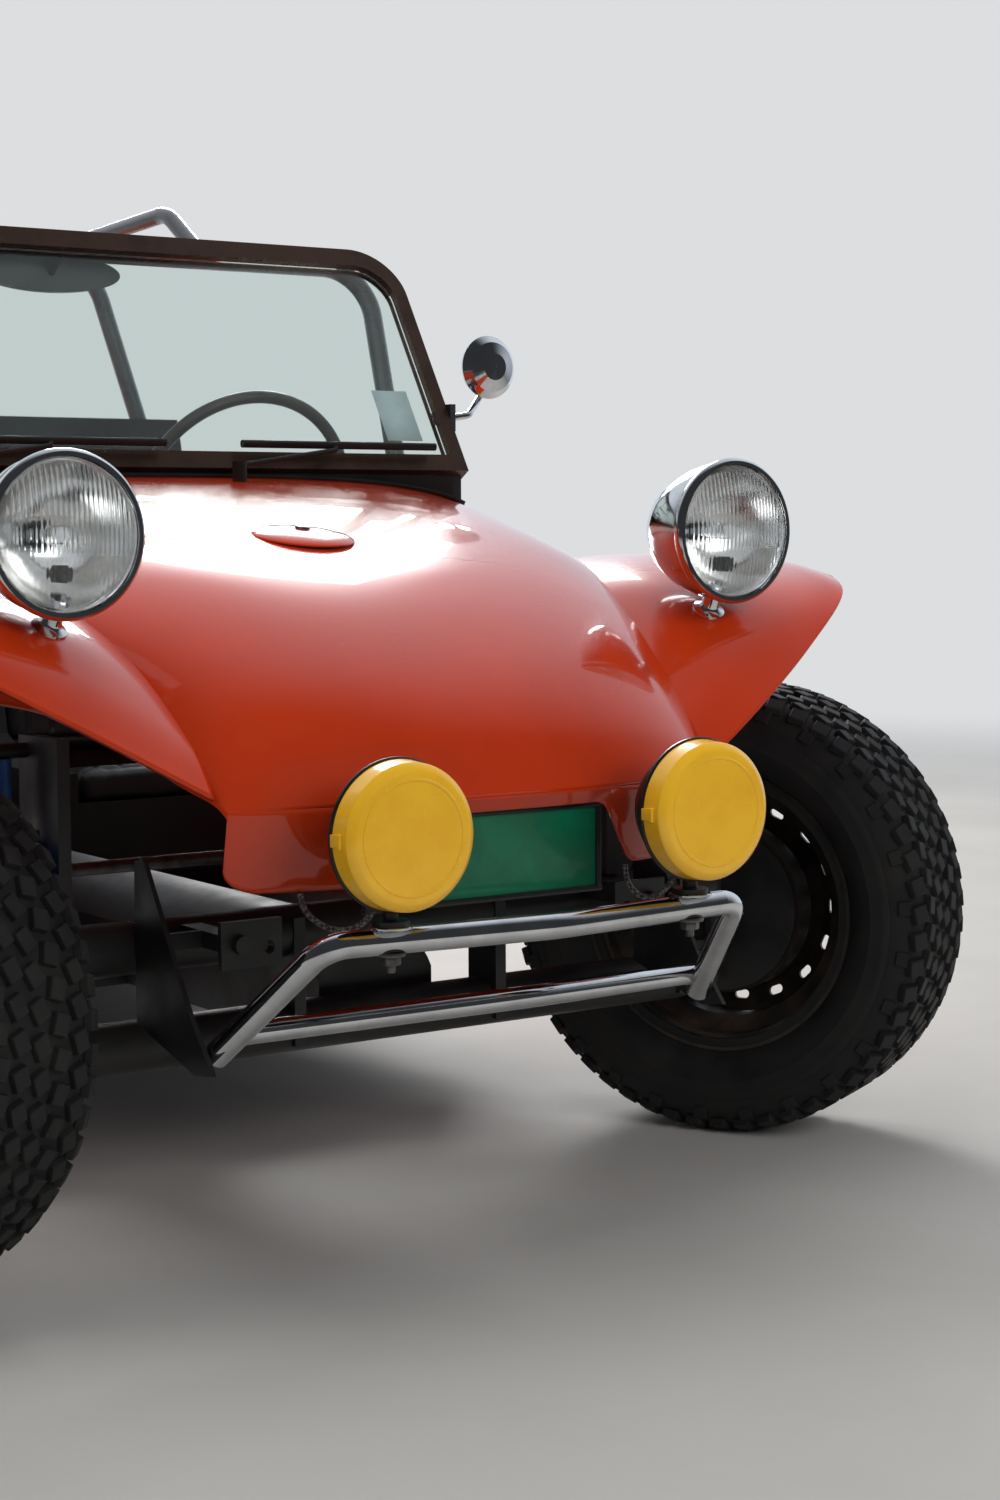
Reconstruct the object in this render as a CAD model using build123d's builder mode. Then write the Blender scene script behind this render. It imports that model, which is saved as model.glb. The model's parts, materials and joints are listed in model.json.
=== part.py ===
from build123d import *
import os
from math import cos, sin, radians

os.makedirs("parts", exist_ok=True)

# Open fibreglass buggy on a shortened rear-engined floor pan.
# While it is modelled, x is the car's left, y runs backward from the front axle line and z is up from the
# ground, in millimetres. At the end every piece moves forward so that the origin lies under the middle.

# Chassis and running gear
wheelbase = 2032.0
front_track = 1396.0
rear_track = 1400.0
rest_steer = 27.4
rest_steer_right = 22.5
kingpin_offset = 85.0
arm_reach = 118.0
pitman_x = 345.0
front_tyre = {"radius": 327.0, "width": 215.0, "rim": 152.0}
rear_tyre = {"radius": 355.0, "width": 270.0, "rim": 204.0}
seat_radius = 190.5
lip_radius = 208.0
rim_wall = 5.0
tyre_wall = 14.0
drum_radius = 125.0
spindle_radius = 15.0
hub_bore = spindle_radius + 0.3
beam_radius = 32.0
beam_half = front_track / 2 - 228.0
beam_y = -150.0
lower_beam_z = 265.0
upper_beam_z = 385.0
rod_z = 452.0
rod_radius = 9.0

# Floor pan and body
pan_z = 238.0
pan_thickness = 12.0
pan_half = 628.0
pan_front = 430.0
pan_rear = wheelbase - 382.0
tunnel_width = 170.0
tunnel_top = 372.0
shell = 8.0
skin = 6.0
body_half = 628.0
cowl_y = 564.0
cowl_half = 592.0
bulkhead_y = wheelbase - 392.0
tail_half = 505.0
tail_y = wheelbase + 298.0
fender_inner = 392.0
fender_outer = 742.0
rear_fender_outer = 842.0
fit_gap = 0.3

# Windscreen
screen_base_z = 981.0
screen_base_half = 581.0
screen_height = 402.0
screen_lean = 31.7
frame_side = 24.0
frame_top = 33.0
frame_base = 30.0
frame_depth = 26.0
glass_thickness = 5.0

# Bumper, lamps and small things
bumper_radius = 15.5
headlight_x = 483.0
headlight_y = -259.0
headlight_z = 876.0
headlight_ring = 97.0
headlight_depth = 165.0
lamp_x = 213.0
lamp_y = -547.0
lamp_z = 544.0
lamp_radius = 83.0
lamp_depth = 98.0
cage_radius = 16.0
cage_x = 600.0
seat_x = 330.0
wheel_centre = (345.0, 860.0, 920.0)
steering_radius = 193.0
column_tilt = 24.0

pieces = {}


def across(x, y, z):
    """Plane whose own x is the car's left and whose own y is up, at a point."""
    return Plane(origin=(x, y, z), x_dir=(1, 0, 0), z_dir=(0, -1, 0))


def along(x):
    """Plane of a side profile at distance x from the middle: own x is backward, own y is up."""
    return Plane(origin=(x, 0, 0), x_dir=(0, 1, 0), z_dir=(1, 0, 0))


def tube(points, radius, bends, mode=Mode.ADD):
    """Round tube along straight runs joined by arcs."""
    with BuildLine() as route:
        if len(points) > 2:
            FilletPolyline(*points, radius=bends)
        else:
            Line(*points)
    with BuildSketch(Plane(origin=route.line @ 0, z_dir=route.line % 0)) as ring:
        Circle(radius)
    sweep(ring.sketch, path=route.line, mode=mode)


def rod(start, end, radius):
    """Straight round bar between two points."""
    run = Vector(*end) - Vector(*start)
    with BuildSketch(Plane(origin=start, z_dir=run)) as disc:
        Circle(radius)
    extrude(disc.sketch, amount=run.length)


def box(x, y, z):
    """Block between two limits on each axis."""
    size = [abs(limits[1] - limits[0]) for limits in (x, y, z)]
    middle = (sum(x) / 2, sum(y) / 2, sum(z) / 2)
    with Locations(middle):
        Box(*size)


def spun(plane, points):
    """Ring turned about the plane's own x axis from a closed outline of (x, radius) points."""
    with BuildSketch(plane) as outline:
        with BuildLine():
            Polyline(*points, close=True)
        make_face()
    revolve(outline.sketch, axis=Axis(plane.origin, plane.x_dir), revolution_arc=360)


def both_sides(left_name, right_name, left):
    """Keep a left piece and its mirror image on the right."""
    pieces[left_name] = left
    with BuildPart() as right:
        mirror(left.part, about=Plane.YZ)
    pieces[right_name] = right


# The hood is a closed nose form: each row is a section across the car at one place.
# columns: y, half width, lowest z, shoulder z, crown z, shoulder radius
hood_rows = (
    (cowl_y - 4, cowl_half - 4, 700, 950, 965.2, 40),
    (180, 508, 620, 815, 892, 70),
    (-160, 428, 545, 690, 806, 80),
    (-335, 362, 520, 590, 700, 62),
    (-432, 235, 520, 548, 606, 22),
)


def hood_form(grow, drop):
    """Solid nose form, grown outward by one size and lengthened downward by another."""
    sections = []
    for y, half, low, shoulder, crown, radius in hood_rows:
        half, crown, shoulder = half + grow, crown + grow, shoulder + grow
        with BuildSketch(across(0, y - (grow if y < 0 else -2 * abs(min(grow, 0))), 0)) as section:
            with BuildLine():
                Polyline((half, shoulder), (half, low - drop), (-half, low - drop), (-half, shoulder))
                ThreePointArc((-half, shoulder), (0, crown), (half, shoulder))
            make_face()
            fillet(section.vertices().group_by(Axis.Y)[-1], radius=radius)
        sections.append(section.sketch.face())
    loft(sections)


with BuildPart() as hood_outside:
    hood_form(0, 0)
with BuildPart() as hood_inside:
    hood_form(-skin, 60)
with BuildPart() as hood_envelope:
    hood_form(fit_gap, 0)

# Hood: one thin moulding with a rounded nose, a filler hole on the crown and a chin with a plate opening.
chin_low = 468.0
chin_high = 560.0
chin_half = 352.0
cap_radius = 70.0
cap_y = 58.0
cap_z = 874.6
plate_half = 168.0
plate_z = (474.0, 546.0)

with BuildPart() as hood:
    add(hood_outside.part)
    add(hood_inside.part, mode=Mode.SUBTRACT)
    with BuildSketch(Plane.XY.offset(chin_low)):
        with BuildLine():
            ThreePointArc((-chin_half, -352), (0, -428), (chin_half, -352))
            Line((chin_half, -352), (chin_half, -352 + shell))
            ThreePointArc((chin_half, -352 + shell), (0, -428 + shell), (-chin_half, -352 + shell))
            Line((-chin_half, -352 + shell), (-chin_half, -352))
        make_face()
    extrude(amount=chin_high - chin_low)
    with BuildSketch(across(0, -300, 0)):
        with Locations((0, sum(plate_z) / 2 - 30)):
            RectangleRounded(2 * plate_half, plate_z[1] - plate_z[0] + 60, 28)
    extrude(amount=200, mode=Mode.SUBTRACT)
    with BuildSketch(Plane.XY.offset(cap_z - 60)):
        with Locations((0, cap_y)):
            Circle(cap_radius - 14)
    extrude(amount=120, mode=Mode.SUBTRACT)
pieces["hood"] = hood

# Fuel filler: a shallow domed cap with a rolled rim and a lock.
cap_tilt = 10.9
with BuildPart() as filler_cap:
    lid = Plane(origin=(0, cap_y, cap_z), z_dir=(0, -sin(radians(cap_tilt)), cos(radians(cap_tilt))))
    with BuildSketch(lid):
        Circle(cap_radius)
    extrude(amount=9)
    chamfer(filler_cap.faces().sort_by(Axis.Z)[-1].edges(), length=3)
    with BuildSketch(lid.offset(9)):
        Circle(16)
    extrude(amount=5)
pieces["filler_cap"] = filler_cap

# Front fenders: a bent band from the tip beside the nose, over the wheel and down behind it.
# columns: x, then (y, z) of the tip, the front run's middle, the crown, the rear run's middle and the foot
fender_rows = (
    (fender_inner, (-338, 612), (-215, 715), (60, 800), (400, 800), (585, 520)),
    (560, (-292, 690), (-212, 782), (90, 838), (440, 770), (600, 470)),
    (fender_outer, (-226, 792), (-120, 826), (150, 842), (450, 760), (600, 470)),
)


def fender_outline(points, wall):
    """Closed band: two arcs on the outside, two on the inside."""
    tip, front, crown, rear, foot = points
    inner = [(tip[0] + wall, tip[1] - 2), (front[0] + wall * 0.7, front[1] - wall),
             (crown[0], crown[1] - wall), (rear[0] - wall * 0.7, rear[1] - wall), (foot[0] - wall, foot[1])]
    ThreePointArc(tip, front, crown)
    ThreePointArc(crown, rear, foot)
    Line(foot, inner[4])
    ThreePointArc(inner[4], inner[3], inner[2])
    ThreePointArc(inner[2], inner[1], inner[0])
    Line(inner[0], tip)


with BuildPart() as front_fender_left:
    for x, *points in fender_rows:
        with BuildSketch(along(x)):
            with BuildLine():
                fender_outline(points, skin)
            make_face()
    loft(ruled=True)
    add(hood_envelope.part, mode=Mode.SUBTRACT)
both_sides("front_fender_left", "front_fender_right", front_fender_left)

# Floor pan: pressed floor with a centre tunnel, the frame head in front, the rear torsion tube and the fork
# that holds the gearbox.
torsion_y = wheelbase - 332.0
torsion_z = 330.0
fork_x = 190.0
fork_z = 280.0
with BuildPart() as floor_pan:
    with BuildSketch(Plane.XY.offset(pan_z - pan_thickness)):
        with BuildLine():
            Polyline((-pan_half + 150, pan_front), (pan_half - 150, pan_front), (pan_half, pan_front + 180),
                     (pan_half, pan_rear), (-pan_half, pan_rear), (-pan_half, pan_front + 180), close=True)
        make_face()
    extrude(amount=pan_thickness)
    with BuildSketch(across(0, pan_rear, 0)):
        with BuildLine():
            Line((-tunnel_width / 2, pan_z - pan_thickness), (tunnel_width / 2, pan_z - pan_thickness))
            Line((tunnel_width / 2, pan_z - pan_thickness), (tunnel_width / 2, tunnel_top - 60))
            ThreePointArc((tunnel_width / 2, tunnel_top - 60), (0, tunnel_top), (-tunnel_width / 2,
                                                                               tunnel_top - 60))
            Line((-tunnel_width / 2, tunnel_top - 60), (-tunnel_width / 2, pan_z - pan_thickness))
        make_face()
    extrude(amount=pan_rear - beam_y - beam_radius - fit_gap)
    for side in (-1, 1):
        rod((side * 100, pan_rear - 22, 300), (side * fork_x, wheelbase - 232, fork_z), 28)
        rod((side * fork_x, wheelbase - 242, fork_z), (side * fork_x, wheelbase + 86, fork_z), 27)
        box((side * 114.5, side * (fork_x - 20)), (wheelbase + 71, wheelbase + 86), (fork_z - 12, fork_z + 12))
    rod((-470, torsion_y, torsion_z), (470, torsion_y, torsion_z), 36)
    for side in (-1, 1):
        box((side * 420 - 60, side * 420 + 60), (700, 760), (pan_z - pan_thickness - 10, pan_z - 1))
        box((side * 420 - 60, side * 420 + 60), (1480, 1540), (pan_z - pan_thickness - 10, pan_z - 1))
pieces["floor_pan"] = floor_pan

# Body tub: two cockpit sides with a low entry, the bulkhead and the hollow tail, open over the engine.
bay_half = 372.0
with BuildPart() as body_tub:
    with BuildSketch(along(body_half - shell)):
        with BuildLine():
            Polyline((bulkhead_y, 850), (bulkhead_y, pan_z + fit_gap), (625, pan_z + fit_gap), (625, 930),
                     (665, 925))
            ThreePointArc((665, 925), (760, 760), (930, 668))
            Line((930, 668), (1330, 652))
            ThreePointArc((1330, 652), (1500, 720), (bulkhead_y, 850))
        make_face()
    extrude(amount=shell)
    mirror(about=Plane.YZ)
    with BuildSketch(across(0, bulkhead_y + shell, 0)):
        with BuildLine():
            Polyline((-body_half, pan_z + fit_gap), (body_half, pan_z + fit_gap), (body_half, 850),
                     (-body_half, 850), close=True)
        make_face()
    extrude(amount=shell)
    with BuildSketch(along(-tail_half)):
        with BuildLine():
            Polyline((bulkhead_y, 850), (bulkhead_y, 560), (wheelbase + 148, 560), (tail_y, 640), (tail_y, 720))
            ThreePointArc((tail_y, 720), (wheelbase + 208, 850), (wheelbase + 28, 886))
            ThreePointArc((wheelbase + 28, 886), (wheelbase - 182, 880), (bulkhead_y, 850))
        make_face()
    extrude(amount=2 * tail_half)
    with BuildSketch(along(-tail_half + shell)):
        with BuildLine():
            Polyline((bulkhead_y + shell, 840), (bulkhead_y + shell, 540), (wheelbase + 158, 540), (tail_y - shell, 610),
                     (tail_y - shell, 716))
            ThreePointArc((tail_y - shell, 716), (wheelbase + 202, 843), (wheelbase + 28, 877))
            ThreePointArc((wheelbase + 28, 877), (wheelbase - 182, 871), (bulkhead_y + shell, 841))
            Line((bulkhead_y + shell, 841), (bulkhead_y + shell, 840))
        make_face()
    extrude(amount=2 * (tail_half - shell), mode=Mode.SUBTRACT)
    with BuildSketch(across(0, tail_y + 20, 0)):
        with Locations((0, 560)):
            RectangleRounded(2 * bay_half, 280, 60)
    extrude(amount=tail_y + 20 - (wheelbase + 108), mode=Mode.SUBTRACT)
    add(floor_pan.part, mode=Mode.SUBTRACT)
pieces["body_tub"] = body_tub

# Rear fenders: a rolled arch over each wide wheel with a turned-down outer lip.
rear_arch = ((wheelbase - 380, 470), (wheelbase + 8, 868), (wheelbase + 438, 610))
with BuildPart() as rear_fender_left:
    with BuildSketch(along(tail_half + fit_gap)):
        with BuildLine():
            ThreePointArc(*rear_arch)
            Line(rear_arch[2], (rear_arch[2][0] - shell, rear_arch[2][1]))
            ThreePointArc((rear_arch[2][0] - shell, rear_arch[2][1]), (wheelbase + 8, 868 - shell),
                          (wheelbase - 380 + shell, 470))
            Line((wheelbase - 380 + shell, 470), rear_arch[0])
        make_face()
    extrude(amount=rear_fender_outer - tail_half - fit_gap)
    with BuildSketch(along(rear_fender_outer - shell)):
        with BuildLine():
            ThreePointArc(*rear_arch)
            Line(rear_arch[2], (rear_arch[2][0] - 36, rear_arch[2][1]))
            ThreePointArc((rear_arch[2][0] - 36, rear_arch[2][1]), (wheelbase + 8, 832), (wheelbase - 380 + 36, 470))
            Line((wheelbase - 380 + 36, 470), rear_arch[0])
        make_face()
    extrude(amount=shell)
both_sides("rear_fender_left", "rear_fender_right", rear_fender_left)

# Roll hoops: the left side of each run, from the floor up; the right side mirrors it.
hoop_top_y = round(cowl_y + screen_height * sin(radians(screen_lean))) + 97.0
hoop_top_z = round(screen_base_z + screen_height * cos(radians(screen_lean))) - 1.0
front_hoop_side = [(cage_x, 705, pan_z + fit_gap), (cage_x, 705, 740), (cage_x, hoop_top_y, hoop_top_z)]
main_hoop_side = [(cage_x, 1600, pan_z + fit_gap), (cage_x, 1600, 872), (432, 1600, 1384)]


def hoop(side_points):
    """Whole run of a hoop from the points of its left side."""
    return [(-x, y, z) for x, y, z in side_points] + side_points[::-1]


# Dashboard: the shelf behind the screen and the face with two instrument holes.
column_axis = Vector(0, -cos(radians(column_tilt)), -sin(radians(column_tilt)))
dash_face_y = 720.0
dash_half = body_half - shell - fit_gap
dash_hole_z = wheel_centre[2] - (wheel_centre[1] - dash_face_y) * sin(radians(column_tilt)) / cos(
    radians(column_tilt))
with BuildPart() as dashboard:
    with BuildSketch(along(-dash_half)):
        with BuildLine():
            Polyline((628, 950), (dash_face_y, 938), (dash_face_y + 14, 920), (dash_face_y + 14, 760),
                     (dash_face_y, 760), (dash_face_y, 915), (628, 935), close=True)
        make_face()
    extrude(amount=2 * dash_half)
    with BuildSketch(across(0, dash_face_y + 20, 0)):
        with Locations((wheel_centre[0], dash_hole_z)):
            Circle(34)
        with Locations((wheel_centre[0] - 105, 868), (wheel_centre[0] + 105, 868)):
            Circle(26)
    extrude(amount=30, mode=Mode.SUBTRACT)
    tube(hoop(front_hoop_side), cage_radius + fit_gap, [80, 85, 85, 80], mode=Mode.SUBTRACT)
pieces["dashboard"] = dashboard

# Front beam: two torsion tubes joined by clamps and a shock tower at each end.
tower_x = front_track / 2 - 243.0
tower_top = 640.0
shock_x = front_track / 2 - 208.0
shock_y = -82.0
with BuildPart() as front_beam:
    for z in (lower_beam_z, upper_beam_z):
        rod((-beam_half, beam_y, z), (beam_half, beam_y, z), beam_radius)
    for x in (-tower_x, -150, 150, tower_x):
        box((x - 8, x + 8), (beam_y - 34, beam_y + 30), (lower_beam_z - 20, upper_beam_z + 20))
    for x in (-tower_x, tower_x):
        box((x - 8, x + 8), (beam_y - 22, beam_y + 30), (upper_beam_z, tower_top))
        box((x - 8, x + 8), (beam_y + 20, shock_y + 18), (tower_top - 110, tower_top))
        rod((x, shock_y, tower_top - 18), (x * (shock_x + 14) / tower_x, shock_y, tower_top - 18), 9)
pieces["front_beam"] = front_beam

# Kingpins and front wheel centres
turn = radians(rest_steer)
turn_right = radians(rest_steer_right)
kingpin_x = front_track / 2 - kingpin_offset * cos(turn)
kingpin_y = -kingpin_offset * sin(turn)
hub_z = front_tyre["radius"]
left_hub = (front_track / 2, 0.0, hub_z)
right_hub = (-kingpin_x - kingpin_offset * cos(turn_right), kingpin_y - kingpin_offset * sin(turn_right), hub_z)


def hub_plane(side, centre, angle):
    """Plane at a wheel's centre whose own x points out of the car along the spindle and whose own y is up."""
    c, s = cos(angle) * side, sin(angle) * side
    return Plane(origin=centre, x_dir=(c, s, 0), z_dir=(s, -c, 0))


# Front suspension arms: four forged trailing arms from the beam's ends back to the ball joints.
with BuildPart() as front_arms:
    for side in (-1, 1):
        for z in (lower_beam_z, upper_beam_z):
            rod((side * (beam_half + fit_gap), beam_y, z), (side * (beam_half + 46), beam_y, z), 30)
            rod((side * (beam_half + 28), beam_y + 5, z), (side * (kingpin_x - 33.3), kingpin_y, z), 15)
            rod((side * (kingpin_x - 33.3), kingpin_y, z - 24), (side * (kingpin_x - 33.3), kingpin_y, z + 24), 20)
        rod((side * (front_track / 2 - 153), shock_y - 8, lower_beam_z), (side * shock_x, shock_y, lower_beam_z), 14)
pieces["front_arms"] = front_arms

# Knuckles: the upright between the ball joints, the spindle, the backing plate and the steering arm.
arm_end = {}
for name, side, angle, centre in (("knuckle_left", 1, turn, left_hub), ("knuckle_right", -1, turn_right,
                                                                         right_hub)):
    pivot = (side * kingpin_x, kingpin_y)
    back = (-sin(angle) * arm_reach, cos(angle) * arm_reach)
    arm_end[name] = (pivot[0] + back[0], pivot[1] + back[1])
    with BuildPart() as knuckle:
        rod((*pivot, 222), (*pivot, rod_z - 16), 13)
        hub = hub_plane(side, centre, angle)
        spun(hub, ((-kingpin_offset - 8, 0), (40, 0), (40, spindle_radius), (-18, spindle_radius), (-60, 24),
                   (-60, 120), (-66, 120), (-66, 30), (-kingpin_offset - 8, 26)))
        rod((*pivot, rod_z - 28), (*arm_end[name], rod_z - 28), 10)
        rod((*pivot, rod_z - 42), (*pivot, rod_z - 14), 18)
        rod((*arm_end[name], rod_z - 40), (*arm_end[name], rod_z - 12), 14)
    pieces[name] = knuckle

# Pitman arm under the steering box, parallel to the left knuckle's arm.
pitman_pivot = (pitman_x, kingpin_y)
pitman_end = (pitman_x + arm_end["knuckle_left"][0] - kingpin_x, arm_end["knuckle_left"][1])
with BuildPart() as pitman_arm:
    rod((*pitman_pivot, rod_z + 20), (*pitman_pivot, rod_z + 63.7), 14)
    rod((*pitman_pivot, rod_z + 32), (*pitman_end, rod_z + 32), 9)
    rod((*pitman_end, rod_z + 21.3), (*pitman_end, rod_z + 44), 15)
pieces["pitman_arm"] = pitman_arm

# Tie rods: each hangs from the pitman arm's end and reaches to just above a knuckle's arm.
for name, knuckle in (("tie_rod_left", "knuckle_left"), ("tie_rod_right", "knuckle_right")):
    end = arm_end[knuckle]
    start_x = pitman_end[0] + (16 if name == "tie_rod_left" else -16)
    with BuildPart() as tie_rod:
        rod((start_x, pitman_end[1], rod_z), (*end, rod_z), rod_radius)
        rod((*end, rod_z - 10), (*end, rod_z + 10), 15)
        rod((start_x, pitman_end[1], rod_z - 10), (start_x, pitman_end[1], rod_z + 21), 13)
    pieces[name] = tie_rod

# Brake drums, rims and tyres
wheel_rows = (
    ("front_{}_left", 1, turn, left_hub, front_tyre),
    ("front_{}_right", -1, turn_right, right_hub, front_tyre),
    ("rear_{}_left", 1, 0.0, (rear_track / 2, wheelbase, rear_tyre["radius"]), rear_tyre),
    ("rear_{}_right", -1, 0.0, (-rear_track / 2, wheelbase, rear_tyre["radius"]), rear_tyre),
)
for label, side, angle, centre, tyre_size in wheel_rows:
    hub = hub_plane(side, centre, angle)
    half = tyre_size["rim"] / 2
    radius, bulge = tyre_size["radius"], tyre_size["width"] / 2
    well = ((-half, lip_radius), (-half + 7, lip_radius), (-half + 12, seat_radius + 1), (-half + 34, seat_radius),
            (-half + 46, 168), (half - 60, 168), (half - 44, seat_radius), (half - 12, seat_radius + 1),
            (half - 7, lip_radius), (half, lip_radius))
    inside = tuple((x, r - rim_wall) for x, r in reversed(well))
    disc_x = 10.0
    with BuildPart() as rim:
        spun(hub, well + inside)
        spun(hub, ((disc_x, 44), (disc_x, 100), (disc_x + 26, 128), (disc_x + 8, 166), (disc_x + 13, 166),
                   (disc_x + 32, 128), (disc_x + 6, 98), (disc_x + 6, 44)))
        with BuildSketch(Plane(origin=hub.origin + hub.x_dir * (disc_x - 20), x_dir=hub.z_dir, z_dir=hub.x_dir)):
            with PolarLocations(142, 16):
                SlotOverall(22, 12, rotation=90)
        extrude(amount=70, mode=Mode.SUBTRACT)
    pieces[label.format("rim")] = rim
    with BuildPart() as tyre:
        with BuildSketch(hub):
            with BuildLine():
                outer_bead, bead_top = half - 14, lip_radius + 8
                for s in (-1, 1):
                    Line((s * (half - 34), seat_radius + 0.4), (s * outer_bead, seat_radius + 1.3))
                    Line((s * outer_bead, seat_radius + 1.3), (s * outer_bead, bead_top))
                    ThreePointArc((s * outer_bead, bead_top), (s * bulge, 0.45 * bead_top + 0.55 * 262),
                                  (s * (bulge - 22), radius - 14))
                    Line((s * (half - 34), seat_radius + 0.4), (s * (half - 30), bead_top))
                    ThreePointArc((s * (half - 30), bead_top), (s * (bulge - tyre_wall), 262),
                                  (s * (bulge - 34), radius - 28))
                ThreePointArc((-bulge + 22, radius - 14), (0, radius), (bulge - 22, radius - 14))
                ThreePointArc((-bulge + 34, radius - 28), (0, radius - 16), (bulge - 34, radius - 28))
            make_face()
        revolve(axis=Axis(hub.origin, hub.x_dir), revolution_arc=360)
    pieces[label.format("tyre")] = tyre
    with BuildPart() as drum:
        spun(hub, ((-54, drum_radius), (-54, drum_radius - 7), (-14, drum_radius - 10), (-14, hub_bore), (30, hub_bore), (30, 42),
                   (disc_x - 0.4, 42), (disc_x - 0.4, 100), (-8, drum_radius - 4), (-12, drum_radius)))
    pieces[label.format("drum")] = drum

# Windscreen: a lean rounded frame with one flat pane.
lean = radians(screen_lean)
screen_up = Vector(0, sin(lean), cos(lean))
screen = Plane(origin=(0, cowl_y, screen_base_z), x_dir=(1, 0, 0), z_dir=(0, -cos(lean), sin(lean)))


def screen_outline(half_width, foot, top, corner):
    """Outline in the screen's own plane with rounded upper corners."""
    with BuildSketch() as outline:
        with Locations((0, (foot + top) / 2)):
            Rectangle(2 * half_width, top - foot)
        fillet(outline.vertices().group_by(Axis.Y)[-1], radius=corner)
    return outline.sketch


pane_half = screen_base_half - frame_side / 2
pane_foot = frame_base / 2
pane_top = screen_height - frame_top / 2
with BuildPart() as windscreen_frame:
    with BuildSketch(screen.offset(-frame_depth / 2)):
        add(screen_outline(screen_base_half + frame_side / 2, -frame_base / 2, screen_height + frame_top / 2, 88))
        add(screen_outline(pane_half, pane_foot, pane_top, 64), mode=Mode.SUBTRACT)
    extrude(amount=frame_depth)
pieces["windscreen_frame"] = windscreen_frame

with BuildPart() as windscreen_glass:
    with BuildSketch(screen.offset(-glass_thickness / 2)):
        add(screen_outline(pane_half - fit_gap, pane_foot + fit_gap, pane_top - fit_gap, 64))
    extrude(amount=glass_thickness)
pieces["windscreen_glass"] = windscreen_glass

# Wipers: two pivots on the cowl with arms and blades lying along the foot of the glass.
with BuildPart() as wipers:
    for x in (-330, 150):
        rod((x, cowl_y - 62, 915), (x, cowl_y - 62, 984), 11)
        rod((x, cowl_y - 62, 978), (x + 190, cowl_y - 24, 1004), 4)
        rod((x + 30, cowl_y - 16, 1012), (x + 380, cowl_y - 16, 1012), 6)
        rod((x + 190, cowl_y - 24, 1004), (x + 195, cowl_y - 16, 1012), 4)
    add(hood_envelope.part, mode=Mode.SUBTRACT)
pieces["wipers"] = wipers

# Mirrors
with BuildPart() as interior_mirror:
    top = Vector(0, cowl_y, screen_base_z) + screen_up * screen_height
    stem = top - screen.z_dir * (frame_depth / 2 + 3 * fit_gap)
    head = top + Vector(0, 62, -40)
    rod(tuple(stem), (head.X, head.Y - 4, head.Z), 6)
    with BuildSketch(across(head.X, head.Y + 14, head.Z)):
        Ellipse(118, 30)
    extrude(amount=20)
pieces["interior_mirror"] = interior_mirror

mirror_centre = (700.0, 650.0, 1149.0)
with BuildPart() as exterior_mirror:
    foot = Vector(screen_base_half + frame_side / 2 + 0.3, cowl_y, screen_base_z) + screen_up * 95
    box((foot.X, foot.X + 10), (foot.Y - 16, foot.Y + 16), (foot.Z - 22, foot.Z + 22))
    tube([(foot.X + 8, foot.Y, foot.Z), (foot.X + 50, foot.Y + 5, foot.Z + 6),
          (mirror_centre[0], mirror_centre[1] + 12, mirror_centre[2] - 40)], 6, 30)
    spun(Plane(origin=mirror_centre, x_dir=(0, -1, 0), z_dir=(-1, 0, 0)),
         ((0, 0), (0, 50), (6, 52), (18, 41), (26, 22), (29, 0)))
    rod((mirror_centre[0], mirror_centre[1] + 12, mirror_centre[2] - 44),
        (mirror_centre[0], mirror_centre[1] - 6, mirror_centre[2] - 30), 8)
pieces["exterior_mirror"] = exterior_mirror

# Roll cage: a hoop behind the screen, the main hoop and two roof bars.
with BuildPart() as front_hoop:
    tube(hoop(front_hoop_side), cage_radius, [80, 85, 85, 80])
pieces["front_hoop"] = front_hoop
with BuildPart() as main_hoop:
    tube(hoop(main_hoop_side), cage_radius, [120, 95, 95, 120])
pieces["main_hoop"] = main_hoop
with BuildPart() as roof_bars:
    for x in (-294, 294):
        tube([(x, 1600, 1386), (x, hoop_top_y + 136, hoop_top_z + 91), (x, hoop_top_y, hoop_top_z)], cage_radius - 2, 85)
    add(front_hoop.part, mode=Mode.SUBTRACT)
    add(main_hoop.part, mode=Mode.SUBTRACT)
pieces["roof_bars"] = roof_bars

# Front bumper: a bent upper hoop, a lower bar between its legs and the flat brackets that carry it.
with BuildPart() as front_bumper:
    tube([(-352, -340, 284), (-292, -488, 424), (0, -519, 424), (292, -488, 424), (352, -340, 284)],
         bumper_radius, [42, 240, 42])
    tube([(-338, -348, 308), (0, -407, 320), (338, -348, 308)], bumper_radius - 2, [300])
pieces["front_bumper"] = front_bumper

tow_bore = 16.5
tow_x = 262.0
tow_z = 396.0
with BuildPart() as bumper_brackets:
    for side in (-1, 1):
        x = side * (352 + bumper_radius + 2.6)
        with BuildSketch(along(x - 3)):
            with BuildLine():
                Polyline((-372, 268), (-330, 262), (beam_y - beam_radius - 2, 300), (beam_y - beam_radius - 2, 492),
                         (-205, 500), (-318, 330), close=True)
            make_face()
        extrude(amount=6)
        box((side * 324, side * (tow_x - 18)), (-306, -298), (374, 430))
        box((side * 314, side * 286), (-300, beam_y - beam_radius - 2), (392, 412))
        box((side * 300, x), (-240, -232), (392, 412))
        rod((side * 300, -300, 403), (side * 300, -318, 403), 11)
        rod((side * tow_x, -306, tow_z), (side * tow_x, -290, tow_z), 16)
    with BuildSketch(across(0, -290, 0)):
        with Locations((-tow_x, tow_z), (tow_x, tow_z)):
            Circle(tow_bore / 2)
    extrude(amount=40, mode=Mode.SUBTRACT)
pieces["bumper_brackets"] = bumper_brackets

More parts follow.
